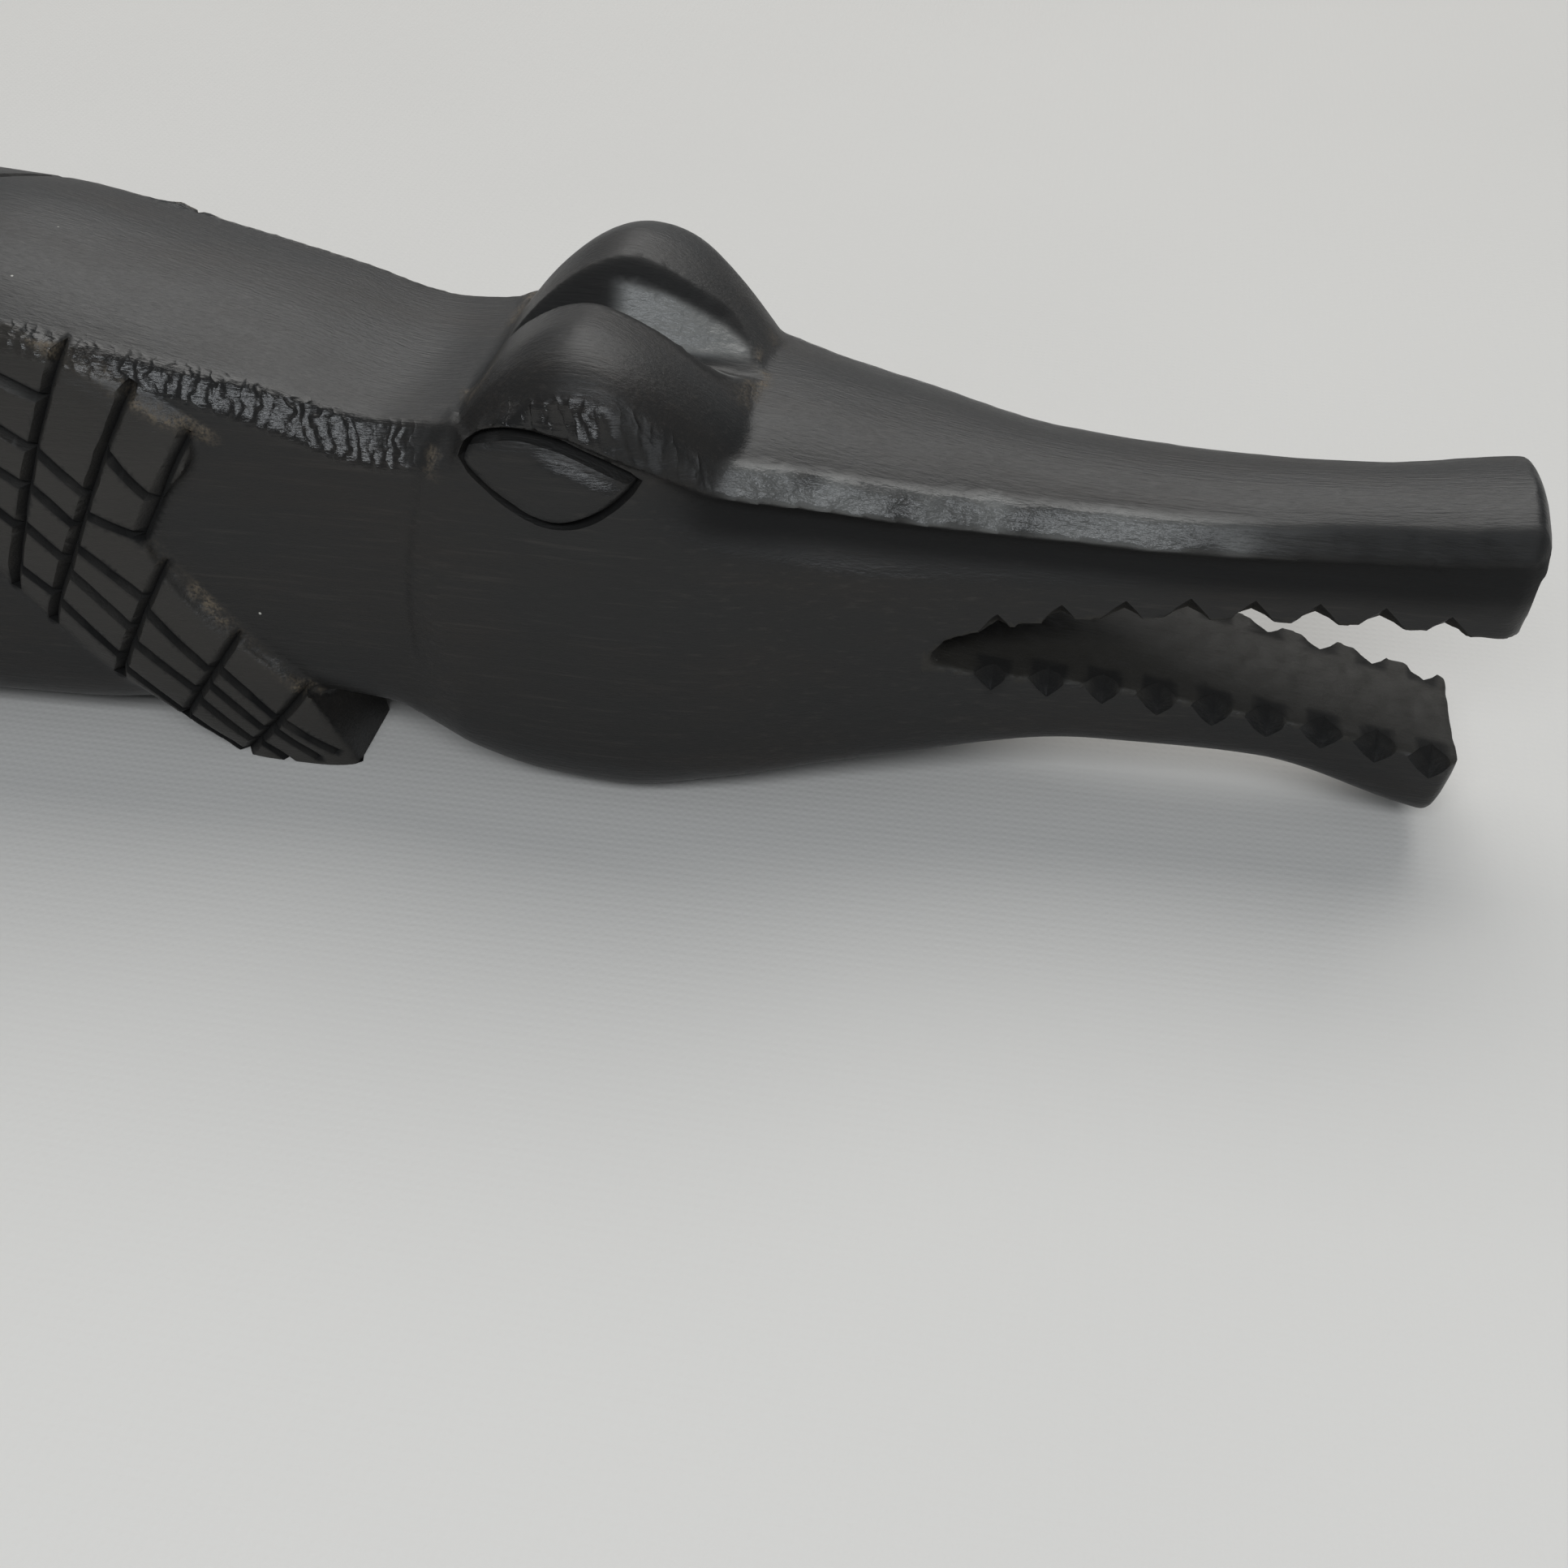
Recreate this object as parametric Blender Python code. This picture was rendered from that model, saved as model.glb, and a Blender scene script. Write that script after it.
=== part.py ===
# Crocodile carved from one piece of black hardwood, lying on its four feet.
# Metres, +Z up. +X points from the tail to the snout; Y = 0 is the mid-plane, and the
# animal is the same on both sides of it. The origin is under the middle of the carving.
import math

import bmesh
import bpy
from mathutils import Vector

# Driving sizes of the carving
LENGTH = 0.340              # tail tip to snout tip
BACK_SCALE = 0.0140         # from one groove across the back to the next
BACK_GROOVE_WIDTH = 0.0013
BACK_GROOVE_DEPTH = 0.0009
TAIL_SCALE = 0.0120         # from one notch of the tail's crest to the next
TAIL_NOTCH_WIDTH = 0.0018
TAIL_NOTCH_DEPTH = 0.0016
SKIN_GROOVE_WIDTH = 0.0008  # the knife grooves on the legs and round the eyes
SKIN_GROOVE_DEPTH = 0.0006
UPPER_TOOTH_PITCH = 0.00503
LOWER_TOOTH_PITCH = 0.00462
TOOTH_NICK = 0.0021         # how far a nick between two teeth reaches from the jaw's edge
EYE_BULGE = 0.0009
LEG_INNER_FACE = 0.0035     # from the mid-plane to a leg's inner face
BLACK_WOOD = (0.021, 0.019, 0.018, 1.0)

# The forms below are drawn 340 units long, tail tip at -170 and snout tip at 170, so
# that every place on the animal is a share of its length.
DRAWN_LENGTH = 340.0
UNIT = LENGTH / DRAWN_LENGTH
SNOUT_TIP = 170.0
TAIL_TIP = -170.0

# Lengthwise lines of the body as (x, value) in drawn units
CROWN_Z = [(-170, 6.5), (-150, 11.0), (-120, 18.0), (-90, 25.5), (-60, 33.5), (-30, 40.8),
           (0, 45.4), (22, 46.4), (41, 45.2), (53, 42.6), (68, 38.9), (80, 35.8), (87, 36.4),
           (107.5, 35.9), (120, 33.6), (132, 31.7), (145, 30.9), (157, 31.5), (170, 33.0)]
KEEL_Z = [(-170, 1.4), (-140, 1.6), (-100, 3.0), (-60, 3.6), (0, 2.6), (45, 2.8), (60, 5.0),
          (68, 7.0), (76, 6.3), (80.4, 3.9), (90, 0.9), (97, 0.4), (106, 2.2), (120, 4.9),
          (137, 7.5), (151, 6.9), (165, 3.2), (170, 2.2)]
SHOULDER_Y = [(-170, 1.5), (-150, 3.2), (-120, 5.4), (-90, 8.0), (-60, 11.4), (-30, 14.2),
              (0, 15.0), (30, 14.6), (53, 13.8), (80, 13.7), (86, 14.0), (96, 14.4), (106, 13.4),
              (113, 11.8), (120, 10.6), (132, 8.3), (145, 7.5), (157, 7.0), (166, 7.5), (170, 7.4)]
SHOULDER_Z = [(-170, 5.2), (-150, 8.6), (-120, 14.0), (-90, 20.4), (-60, 28.4), (-30, 36.2),
              (0, 41.2), (22, 42.2), (41, 41.6), (53, 39.6), (68, 35.7), (79, 32.6), (85, 33.2),
              (96, 36.6), (106, 32.6), (113, 31.2), (120, 30.1), (132, 28.5), (145, 28.0),
              (157, 28.5), (170, 30.2)]
CHAMFER = [(-170, 0.5), (-100, 1.4), (0, 2.2), (41, 1.6), (55, 1.6), (80, 3.9), (90, 3.0), (110, 2.6),
           (132, 2.4), (170, 2.4)]
FLANK_Y = [(-170, 1.8), (-150, 3.8), (-120, 6.2), (-90, 9.0), (-60, 12.6), (-30, 15.6),
           (0, 16.4), (30, 15.6), (53, 14.4), (79, 13.8), (84, 14.9), (95, 15.4), (106, 14.7),
           (113, 13.0), (120, 11.5), (132, 9.1), (145, 7.8), (157, 6.9), (170, 6.6)]
FLANK_Z = [(-170, 3.8), (-120, 9.5), (-60, 17.5), (0, 23.0), (40, 22.0), (80, 19.0), (100, 19.5),
           (120, 18.5), (145, 17.5), (170, 15.0)]
HOLLOW = [(-170, 0.0), (100, 0.0), (106, 1.3), (112, 2.2), (120, 1.5), (132, 1.0), (150, 0.7),
          (170, 0.3)]

CHAMFER_ACROSS = 0.6        # the chamfer's reach sideways and down, as shares of its width
CHAMFER_DOWN = 0.75
NOTCH_LIMIT = 0.45          # a notch stays above this share of the shoulder's height
NOTCH_AT_EDGE = 0.6         # its depth at the shoulder's edge, as a share of that at the crown
BELLY_FULLNESS = 5.2        # exponent of the curve from the flank to the keel
BACK_RIDGE = 0.55           # place on the back between the crown and the chamfer
BACK_CURVE = 2.2            # exponent of the back's fall from the crown to the chamfer
CROWN_RISE = 0.2            # the crown stands above the chamfer by at least this much
TAIL_FRONT = -64.0          # foremost notch of the tail's crest
TAIL_REAR = -160.0
WALL_POINTS = [(0.22, 1.0), (0.48, 0.1)]    # places down the wall and their share of HOLLOW
BELLY_ANGLES = (36, 66)
STATION_STEP = 12.0
SNOUT_STATION_STEP = 7.0
HEAD_STATION_STEP = 4.0
HEAD_REAR = 76.0            # the head's finer stations lie between these two places
HEAD_FRONT = 112.0
STATION_CLEARANCE = 5.0     # no plain station lies nearer than this to a notch
SNOUT_RAKE = 0.10           # the snout's end leans back by this much for each unit down
RAKE_START = 150.0
END_ROUNDING = 1.6          # the snout's last length, over which its section closes in
END_CLOSING = 0.16


def clear_scene():
    for item in list(bpy.data.objects):
        bpy.data.objects.remove(item, do_unlink=True)


def slopes(points):
    """Slopes of a smooth line that never swings past its points."""
    steps = [(b[1] - a[1]) / (b[0] - a[0]) for a, b in zip(points[:-1], points[1:])]
    result = [steps[0]]
    for before, after in zip(steps[:-1], steps[1:]):
        result.append(0.0 if before * after <= 0 else 2 * before * after / (before + after))
    result.append(steps[-1])
    return result


def line(points, x):
    """Value at x of the smooth line through the points."""
    x = min(max(x, points[0][0]), points[-1][0])
    bends = slopes(points)
    for index in range(len(points) - 1):
        (x0, v0), (x1, v1) = points[index], points[index + 1]
        if x <= x1:
            width = x1 - x0
            t = (x - x0) / width
            return ((1 + 2 * t) * (1 - t) ** 2 * v0 + t * (1 - t) ** 2 * width * bends[index]
                    + t * t * (3 - 2 * t) * v1 + t * t * (t - 1) * width * bends[index + 1])
    return points[-1][1]


def between(a, b, share):
    return a + (b - a) * share


def half_section(x, cut=0.0):
    """Outline of the right half at station x as (y, z): the top, and the side down to the keel.

    A notch of the tail's crest lowers the top by cut."""
    crown, keel = line(CROWN_Z, x), line(KEEL_Z, x)
    edge_y, edge_z = line(SHOULDER_Y, x), line(SHOULDER_Z, x)
    flank_y, flank_z = line(FLANK_Y, x), line(FLANK_Z, x)
    chamfer = line(CHAMFER, x)
    cut = min(cut, NOTCH_LIMIT * (edge_z - flank_z))
    top_y = edge_y - CHAMFER_ACROSS * chamfer
    top_z = min(edge_z + CHAMFER_DOWN * chamfer, crown - CROWN_RISE) - cut
    edge_z -= NOTCH_AT_EDGE * cut
    crown -= cut
    ridge_z = between(crown, top_z, BACK_RIDGE ** BACK_CURVE)
    top = [(0.0, crown), (top_y * BACK_RIDGE, ridge_z), (top_y, top_z)]
    side = [(edge_y, edge_z)]
    for share, hollow_share in WALL_POINTS:
        wall_y = between(edge_y, flank_y, share) - line(HOLLOW, x) * hollow_share
        side.append((wall_y, between(edge_z, flank_z, share)))
    side.append((flank_y, flank_z))
    for angle in BELLY_ANGLES:
        y_share = math.cos(math.radians(angle)) ** (2 / BELLY_FULLNESS)
        z_share = math.sin(math.radians(angle)) ** (2 / BELLY_FULLNESS)
        side.append((flank_y * y_share, flank_z - (flank_z - keel) * z_share))
    side.append((0.0, keel))
    return top, side


def side_y(x, z):
    """Half-width of the body at station x and height z, on its side."""
    outline = half_section(x)[1]
    for (y0, z0), (y1, z1) in zip(outline[:-1], outline[1:]):
        if z1 <= z <= z0:
            return between(y0, y1, (z0 - z) / (z0 - z1))
    return outline[0][0]


def back_outline(x):
    """Outline of the back at station x, from the crown to the shoulder's edge, as (y, z)."""
    top, side = half_section(x)
    return top + side[:1]


def back_z(x, y):
    """Height of the body at station x and half-width y, on its back and its chamfer."""
    outline = back_outline(x)
    for (y0, z0), (y1, z1) in zip(outline[:-1], outline[1:]):
        if y <= y1:
            return between(z0, z1, (y - y0) / (y1 - y0))
    return outline[-1][1]


def groove_places(front, rear, pitch):
    count = int((front - rear) / (pitch / UNIT)) + 1
    return [front - index * pitch / UNIT for index in range(count)]


def station_step(x):
    if x < HEAD_REAR:
        return min(STATION_STEP, max(HEAD_REAR - x, HEAD_STATION_STEP))
    return HEAD_STATION_STEP if x < HEAD_FRONT else SNOUT_STATION_STEP


def stations():
    """Stations along the body, each with the depth of the tail's notch there."""
    half = 0.5 * TAIL_NOTCH_WIDTH / UNIT
    notches = groove_places(TAIL_FRONT, TAIL_REAR, TAIL_SCALE)
    result = [(x, TAIL_NOTCH_DEPTH / UNIT) for x in notches]
    result += [(x + side * half, 0.0) for x in notches for side in (-1, 1)]
    x = TAIL_TIP
    while x < SNOUT_TIP - 2:
        if min(abs(x - notch) for notch in notches) > STATION_CLEARANCE:
            result.append((x, 0.0))
        x += station_step(x)
    result += [(SNOUT_TIP - share * END_ROUNDING, 0.0) for share in (1.0, 0.25, 0.0)]
    return sorted(result)


def end_shrink(x):
    """The body's last sections close in, which rounds the snout's end."""
    left = max(1.0 - (SNOUT_TIP - x) / END_ROUNDING, 0.0)
    return 1.0 - END_CLOSING * left ** 2


def ring(x, cut):
    top, side = half_section(x, cut)
    outline = top + side
    crown, keel = outline[0][1], outline[-1][1]
    middle = 0.5 * (crown + keel)
    shrink = end_shrink(x)
    rake = SNOUT_RAKE * min(max((x - RAKE_START) / (SNOUT_TIP - RAKE_START), 0.0), 1.0)
    half = [(x - rake * (crown - z), y * shrink, between(middle, z, shrink)) for y, z in outline]
    right = [Vector((px, -py, pz)) * UNIT for px, py, pz in half]
    left = [Vector((px, py, pz)) * UNIT for px, py, pz in reversed(half[1:-1])]
    return right + left


def mesh_object(name, build):
    """A closed object from a function that fills a bmesh; its faces are turned outwards."""
    shape = bmesh.new()
    build(shape)
    bmesh.ops.triangulate(shape, faces=shape.faces[:])
    bmesh.ops.recalc_face_normals(shape, faces=shape.faces[:])
    mesh = bpy.data.meshes.new(name)
    shape.to_mesh(mesh)
    shape.free()
    item = bpy.data.objects.new(name, mesh)
    bpy.context.scene.collection.objects.link(item)
    return item


def loft(shape, rings, closed=False):
    """Skin over rings of equal length; the ends are capped unless the loft runs in a circle."""
    rows = [[shape.verts.new(point) for point in points] for points in rings]
    pairs = list(zip(rows[:-1], rows[1:]))
    if closed:
        pairs.append((rows[-1], rows[0]))
    else:
        shape.faces.new(rows[0])
        shape.faces.new(rows[-1])
    size = len(rows[0])
    for first, second in pairs:
        for index in range(size):
            following = (index + 1) % size
            shape.faces.new((first[index], first[following], second[following], second[index]))


def cut_or_join(target, tool, operation):
    """Boolean of the target with one tool, which is used up."""
    tool.hide_render = True
    tool.display_type = "WIRE"
    step = target.modifiers.new(operation.lower(), "BOOLEAN")
    step.operation = operation
    step.solver = "EXACT"
    step.object = tool
    bpy.context.view_layer.update()
    seen = target.evaluated_get(bpy.context.evaluated_depsgraph_get())
    mesh = bpy.data.meshes.new_from_object(seen)
    target.modifiers.clear()
    target.data = mesh
    bpy.data.objects.remove(tool, do_unlink=True)


def body():
    def build(shape):
        loft(shape, [ring(x, cut) for x, cut in stations()])
    return mesh_object("crocodile_carving", build)


# Brow domes, one over each eye, with a V valley between them
DOME_TOP = 95.2             # station of the domes' highest point
DOME_STEPS = 10
DOME_SUNK = 0.15            # a dome's ends run out this far under the body's surface
REAR_ROUNDNESS = 1.9
WALL_FOOT = 0.6             # the domes go down into the body to this far below its shoulder
BROW_LINE = [(84.6, 33.8), (86.2, 35.4), (88, 37.4), (91, 38.2), (95, 37.6), (98, 36.4),
             (102, 34.7), (107.8, 32.2)]        # lower edge of the brow, over the eye
BROW_EDGE = 0.3             # least height of the brow's outer face
# Share of the shoulder's half-width, reach beyond it, height of the top, rear end, front end,
# roundness at the front, place of the underside against the brow's line
DOME_ROWS = [(0.0, 0.0, 43.2, 84.8, 107.4, 1.5, None), (0.32, 0.0, 43.5, 84.7, 107.5, 1.5, None),
             (0.60, 0.0, 43.8, 84.6, 107.8, 1.6, None), (0.84, 0.0, 43.2, 85.0, 107.0, 1.9, None),
             (0.95, 0.0, 42.5, 85.4, 106.0, 2.2, None), (1.0, 0.0, 41.9, 85.8, 105.2, 2.6, -0.3),
             (1.0, 1.1, 41.0, 87.0, 102.6, 2.8, 0.0)]
VALLEY_FLOOR = [(82, 38.6), (86.7, 37.6), (95, 37.0), (103, 36.3), (107.6, 35.9), (111, 36.2)]
VALLEY_SPREAD = [(82, 0.6), (92, 0.6), (97, 0.72), (100, 0.92), (102, 1.25), (105, 2.2),
                 (111, 3.0)]        # half-width of the valley for each unit above its floor
VALLEY_STATIONS = (82, 87, 91, 95, 98, 101, 104, 107, 111)
VALLEY_TOP = 50.0


def dome_row(row, side):
    """A lengthwise slice of the domes: its upper edge to the front, its underside back again."""
    share, beyond, top, rear, front, roundness, hang = row
    upper, under = [], []
    for index in range(DOME_STEPS + 1):
        turn = math.pi * (1 - index / DOME_STEPS)
        away = abs(math.cos(turn))
        end, power = (rear, REAR_ROUNDNESS) if turn > math.pi / 2 else (front, roundness)
        x = between(DOME_TOP, end, away)
        y = share * line(SHOULDER_Y, x) + beyond * (1 - away ** 4)
        low = line(SHOULDER_Z, x) - WALL_FOOT if hang is None else line(BROW_LINE, x) + hang
        run_out = back_z(end, share * line(SHOULDER_Y, end)) - DOME_SUNK
        z = max(top - (top - run_out) * away ** power, low + BROW_EDGE)
        upper.append(Vector((x, side * y, z)) * UNIT)
        under.append(Vector((x, side * y, low)) * UNIT)
    return upper + under[::-1]


def domes():
    def build(shape):
        rings = [dome_row(row, -1) for row in DOME_ROWS[:0:-1]]
        loft(shape, rings + [dome_row(row, 1) for row in DOME_ROWS])
    pair = mesh_object("domes", build)
    cut_or_join(pair, valley(), "DIFFERENCE")
    return pair


def valley():
    def build(shape):
        rings = []
        for x in VALLEY_STATIONS:
            floor = line(VALLEY_FLOOR, x)
            half = (VALLEY_TOP - floor) * line(VALLEY_SPREAD, x)
            corners = [(0.0, floor), (half, VALLEY_TOP), (-half, VALLEY_TOP)]
            rings.append([Vector((x, y, z)) * UNIT for y, z in corners])
        loft(shape, rings)
    return mesh_object("valley", build)


# Mouth and teeth
MOUTH_ROOF = [(123.2, 17.9), (124.5, 19.2), (128.3, 20.2), (133.1, 21.1), (143.0, 21.8),
              (154.0, 22.2), (163.5, 22.4), (174.0, 22.2)]
MOUTH_FLOOR = [(123.2, 16.9), (128.3, 15.9), (137.6, 15.0), (146.7, 13.5), (156.4, 11.7),
               (165.0, 9.9), (174.0, 7.9)]
FIRST_TOOTH = 128.3
LAST_TOOTH = 166.5
MOUTH_REACH = 24.0


def mouth():
    outline = MOUTH_ROOF + MOUTH_FLOOR[::-1]

    def build(shape):
        loft(shape, [[Vector((x, side * MOUTH_REACH, z)) * UNIT for x, z in outline]
                     for side in (-1, 1)])
    return mesh_object("mouth", build)


def tooth_nicks():
    """Diamonds on the four edges of the jaws; each one cuts the nick between two teeth."""
    def build(shape):
        for edge, pitch in ((MOUTH_ROOF, UPPER_TOOTH_PITCH), (MOUTH_FLOOR, LOWER_TOOTH_PITCH)):
            count = int((LAST_TOOTH - FIRST_TOOTH) / (pitch / UNIT)) + 1
            for index in range(count):
                x = FIRST_TOOTH + index * pitch / UNIT
                z = line(edge, x)
                grown = 0.75 + 0.25 * min(index / 3, 1.0)
                reach = min(TOOTH_NICK, 0.45 * pitch) / UNIT * grown
                for side in (-1, 1):
                    diamond(shape, (x, side * side_y(x, z), z), reach)
    return mesh_object("nicks", build)


def diamond(shape, centre, reach):
    x, y, z = centre
    corners = [(x - reach, y, z), (x, y - reach, z), (x + reach, y, z), (x, y + reach, z)]
    waist = [shape.verts.new(Vector(corner) * UNIT) for corner in corners]
    tips = [shape.verts.new(Vector((x, y, z + reach * sign)) * UNIT) for sign in (-1, 1)]
    for tip in tips:
        for index in range(4):
            shape.faces.new((waist[index], waist[(index + 1) % 4], tip))


# Knife grooves
CHEVRON_FRONT = 42.5        # where the foremost groove on the back starts on the shoulders
CHEVRON_REAR = -50.0
CHEVRON_SLANT = 0.69        # it runs towards the tail by this much for each unit inwards
# Width, depth and how far the cutter stands out of the wood, as a share of the depth
LEG_GROOVE = (SKIN_GROOVE_WIDTH, SKIN_GROOVE_DEPTH, 1.5)
EYE_GROOVE = (SKIN_GROOVE_WIDTH, SKIN_GROOVE_DEPTH, 0.6)
BACK_GROOVE = (BACK_GROOVE_WIDTH, BACK_GROOVE_DEPTH, 0.7)


def groove_section(point, ahead, outwards, size):
    """Triangle across a groove's path: two corners above the surface and one in the wood."""
    width, depth, proud = size
    sideways = ahead.cross(outwards).normalized()
    rise = depth * proud
    half = 0.5 * width * (1 + proud)
    return [point + outwards * rise + sideways * half,
            point - outwards * depth,
            point + outwards * rise - sideways * half]


def groove(shape, path, outwards, size, closed=False):
    sections = []
    last = len(path) - 1
    for index, point in enumerate(path):
        before = path[index - 1] if index > 0 or closed else point
        after = path[(index + 1) % len(path)] if index < last or closed else point
        sections.append(groove_section(point, (after - before).normalized(), outwards[index], size))
    loft(shape, sections, closed)


def chevron(shape, front):
    """Groove from one shoulder over the back to the other, with its point to the tail."""
    reach = line(SHOULDER_Y, front)
    half = []
    for index, (y, _) in enumerate(back_outline(front)):
        x = front - CHEVRON_SLANT * (reach - y)
        outline = back_outline(x)
        (y0, z0), (y1, z1) = outline[max(index - 1, 0)], outline[min(index + 1, len(outline) - 1)]
        fall = z0 - z1 if index else 0.0
        half.append((x, outline[index], (fall, y1 - y0)))
    path, outwards = [], []
    for side, places in ((-1, half[::-1]), (1, half[1:])):
        for x, (y, z), (ny, nz) in places:
            path.append(Vector((x, side * y, z)) * UNIT)
            outwards.append(Vector((0, side * ny, nz)).normalized())
    groove(shape, path, outwards, BACK_GROOVE)


def back_grooves():
    def build(shape):
        for front in groove_places(CHEVRON_FRONT, CHEVRON_REAR, BACK_SCALE):
            chevron(shape, front)
    return mesh_object("back_grooves", build)


# Eyes
EYE_BACK = (86.3, 34.6)
EYE_FRONT = (100.2, 33.8)
EYE_ABOVE = 2.9
EYE_BELOW = 4.7
EYE_POINTS = 7
EYE_MIDDLE = 0.48           # the eyeball's middle, as a share of the way from back to front
EYE_MIDDLE_DROP = 1.2
EYE_ROWS = [(1.0, -1.4), (1.0, 0.0), (0.78, 0.55), (0.42, 0.92), (0.1, 1.0)]    # size, rise


def eye_outline():
    """Almond lying on the side of the head, as (x, z)."""
    points = []
    for index in range(EYE_POINTS):
        t = index / EYE_POINTS
        points.append((t, EYE_ABOVE * math.sin(math.pi * t ** 0.66) ** 0.85))
    for index in range(EYE_POINTS):
        t = 1 - index / EYE_POINTS
        points.append((t, -EYE_BELOW * math.sin(math.pi * t) ** 0.85))
    return [(between(EYE_BACK[0], EYE_FRONT[0], t), between(EYE_BACK[1], EYE_FRONT[1], t) + rise)
            for t, rise in points]


def eye_ball(side):
    outline = eye_outline()
    centre = (between(EYE_BACK[0], EYE_FRONT[0], EYE_MIDDLE), EYE_BACK[1] - EYE_MIDDLE_DROP)

    def build(shape):
        rings = []
        for share, rise in EYE_ROWS:
            points = []
            for x, z in outline:
                px, pz = between(centre[0], x, share), between(centre[1], z, share)
                y = side_y(px, pz) * UNIT + rise * EYE_BULGE
                points.append(Vector((px * UNIT, side * y, pz * UNIT)))
            rings.append(points)
        loft(shape, rings)
    return mesh_object("eye", build)


def eye_groove(side):
    def build(shape):
        path = [Vector((x * UNIT, side * side_y(x, z) * UNIT, z * UNIT)) for x, z in eye_outline()]
        groove(shape, path, [Vector((0, side, 0))] * len(path), EYE_GROOVE, closed=True)
    return mesh_object("eye_groove", build)


# Legs. The front leg is drawn where it lies; the hind leg is the same limb, longer and lower.
LEG_FRONT_EDGE = [(-4.0, 72.6), (0.0, 71.8), (4.0, 70.9), (9.3, 68.9), (14.7, 63.7), (20.0, 59.4),
                  (24.0, 57.8), (27.5, 59.6), (33.0, 63.6), (34.6, 63.4), (37.6, 59.2),
                  (41.2, 52.0)]           # (z, x)
LEG_REAR_EDGE = [(-4.0, 63.6), (0.0, 60.0), (4.7, 55.9), (9.4, 51.2), (14.8, 47.2), (18.2, 44.6),
                 (25.0, 40.0), (34.0, 40.6), (41.2, 44.0)]
LEG_SURFACE_Y = [(-4, 12.4), (0, 12.9), (4, 14.1), (9, 15.0), (16, 15.8), (30, 16.0), (36, 15.2),
                 (42, 13.6)]
LEG_LEVELS = [-3.0, 1.6, 5.5, 10.0, 15.0, 20.0, 24.0, 28.5, 33.6, 36.4, 41.0]
LEG_COLUMNS = 4
LEG_EDGE_DROP = 0.8         # the outer face falls off this much towards both of its edges
# Lines across the limb, from its front to its rear edge, shoulder first, as pairs of (x, z)
CROSS_LINES = [((47.6, 40.2), (41.2, 24.6)), ((53.9, 40.4), (44.6, 18.0)),
               ((59.3, 37.8), (47.0, 14.6)), ((63.6, 34.4), (57.6, 24.2)),
               ((59.0, 21.8), (51.6, 9.0)), ((64.0, 15.0), (56.4, 4.4)),
               ((69.2, 9.7), (60.6, -0.5)), ((71.4, 2.4), (63.5, -1.5))]
CUT_LINES = (1, 2, 3, 4, 5, 6)
# Grooves along the limb: from one line to another, with their places across it at both
LEG_PANELS = [(0, 1, (0.10, 0.32, 0.52, 0.72), (0.17, 0.36, 0.52, 0.70)),
              (1, 2, (0.35, 0.50, 0.67, 0.87), (0.40, 0.54, 0.69, 0.85)),
              (2, 3, (0.21, 0.47), (0.62, 0.97)),
              (2, 4, (0.61, 0.72, 0.86), (0.26, 0.52, 0.80)),
              (4, 5, (0.32, 0.60, 0.87), (0.37, 0.62, 0.93)),
              (5, 6, (0.29, 0.48, 0.68, 0.93), (0.37, 0.55, 0.74, 0.95)),
              (6, 7, (0.36, 0.48, 0.70), (0.14, 0.38, 0.72))]
HIND_START = -54.0          # station of the hind leg's rearmost point
HIND_STRETCH = 1.12
HIND_HEIGHT = 0.78
HIND_BREADTH = 0.97


def leg_point(x, z, side, hind, inner=False, drop=0.0):
    """Point on a leg's outer or inner face, from its place on the drawn front leg."""
    w = line(LEG_SURFACE_Y, z) - drop
    if hind:
        start = line(LEG_REAR_EDGE, 25.0)
        x, z, w = HIND_START + (x - start) * HIND_STRETCH, z * HIND_HEIGHT, w * HIND_BREADTH
    half_width = LEG_INNER_FACE if inner else w * UNIT
    return Vector((x * UNIT, side * half_width, z * UNIT))


def leg(side, hind):
    def build(shape):
        rings = []
        for z in LEG_LEVELS:
            front, rear = line(LEG_FRONT_EDGE, z), line(LEG_REAR_EDGE, z)
            points = []
            for index in range(LEG_COLUMNS):
                share = index / (LEG_COLUMNS - 1)
                drop = LEG_EDGE_DROP * (2 * share - 1) ** 4
                points.append(leg_point(between(front, rear, share), z, side, hind, drop=drop))
            points.append(leg_point(rear, z, side, hind, inner=True))
            points.append(leg_point(front, z, side, hind, inner=True))
            rings.append(points)
        loft(shape, rings)
    return mesh_object("leg", build)


def leg_groove(shape, start, end, side, hind, steps):
    path = []
    for index in range(steps + 1):
        share = index / steps
        x, z = between(start[0], end[0], share), between(start[1], end[1], share)
        front, rear = line(LEG_FRONT_EDGE, z), line(LEG_REAR_EDGE, z)
        drop = LEG_EDGE_DROP * min(abs(2 * (x - front) / (rear - front) - 1), 1.0) ** 4
        path.append(leg_point(x, z, side, hind, drop=drop))
    groove(shape, path, [Vector((0, side, 0))] * len(path), LEG_GROOVE)


def on_line(cross, share):
    (x0, z0), (x1, z1) = CROSS_LINES[cross]
    return between(x0, x1, share), between(z0, z1, share)


def cross_grooves(side, hind):
    def build(shape):
        for cross in CUT_LINES:
            leg_groove(shape, on_line(cross, 0.0), on_line(cross, 1.0), side, hind, 2)
    return mesh_object("cross_grooves", build)


def panel_grooves(panel, side, hind):
    first, second, starts, ends = panel

    def build(shape):
        pairs = list(zip(starts, ends))
        if hind:
            pairs = pairs[::2]      # the hind leg has every second groove along the limb
        for start, end in pairs:
            leg_groove(shape, on_line(first, start), on_line(second, end), side, hind, 1)
    return mesh_object("panel_grooves", build)


def carve_scales(carving, side, hind):
    cut_or_join(carving, cross_grooves(side, hind), "DIFFERENCE")
    for panel in LEG_PANELS:
        cut_or_join(carving, panel_grooves(panel, side, hind), "DIFFERENCE")


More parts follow.
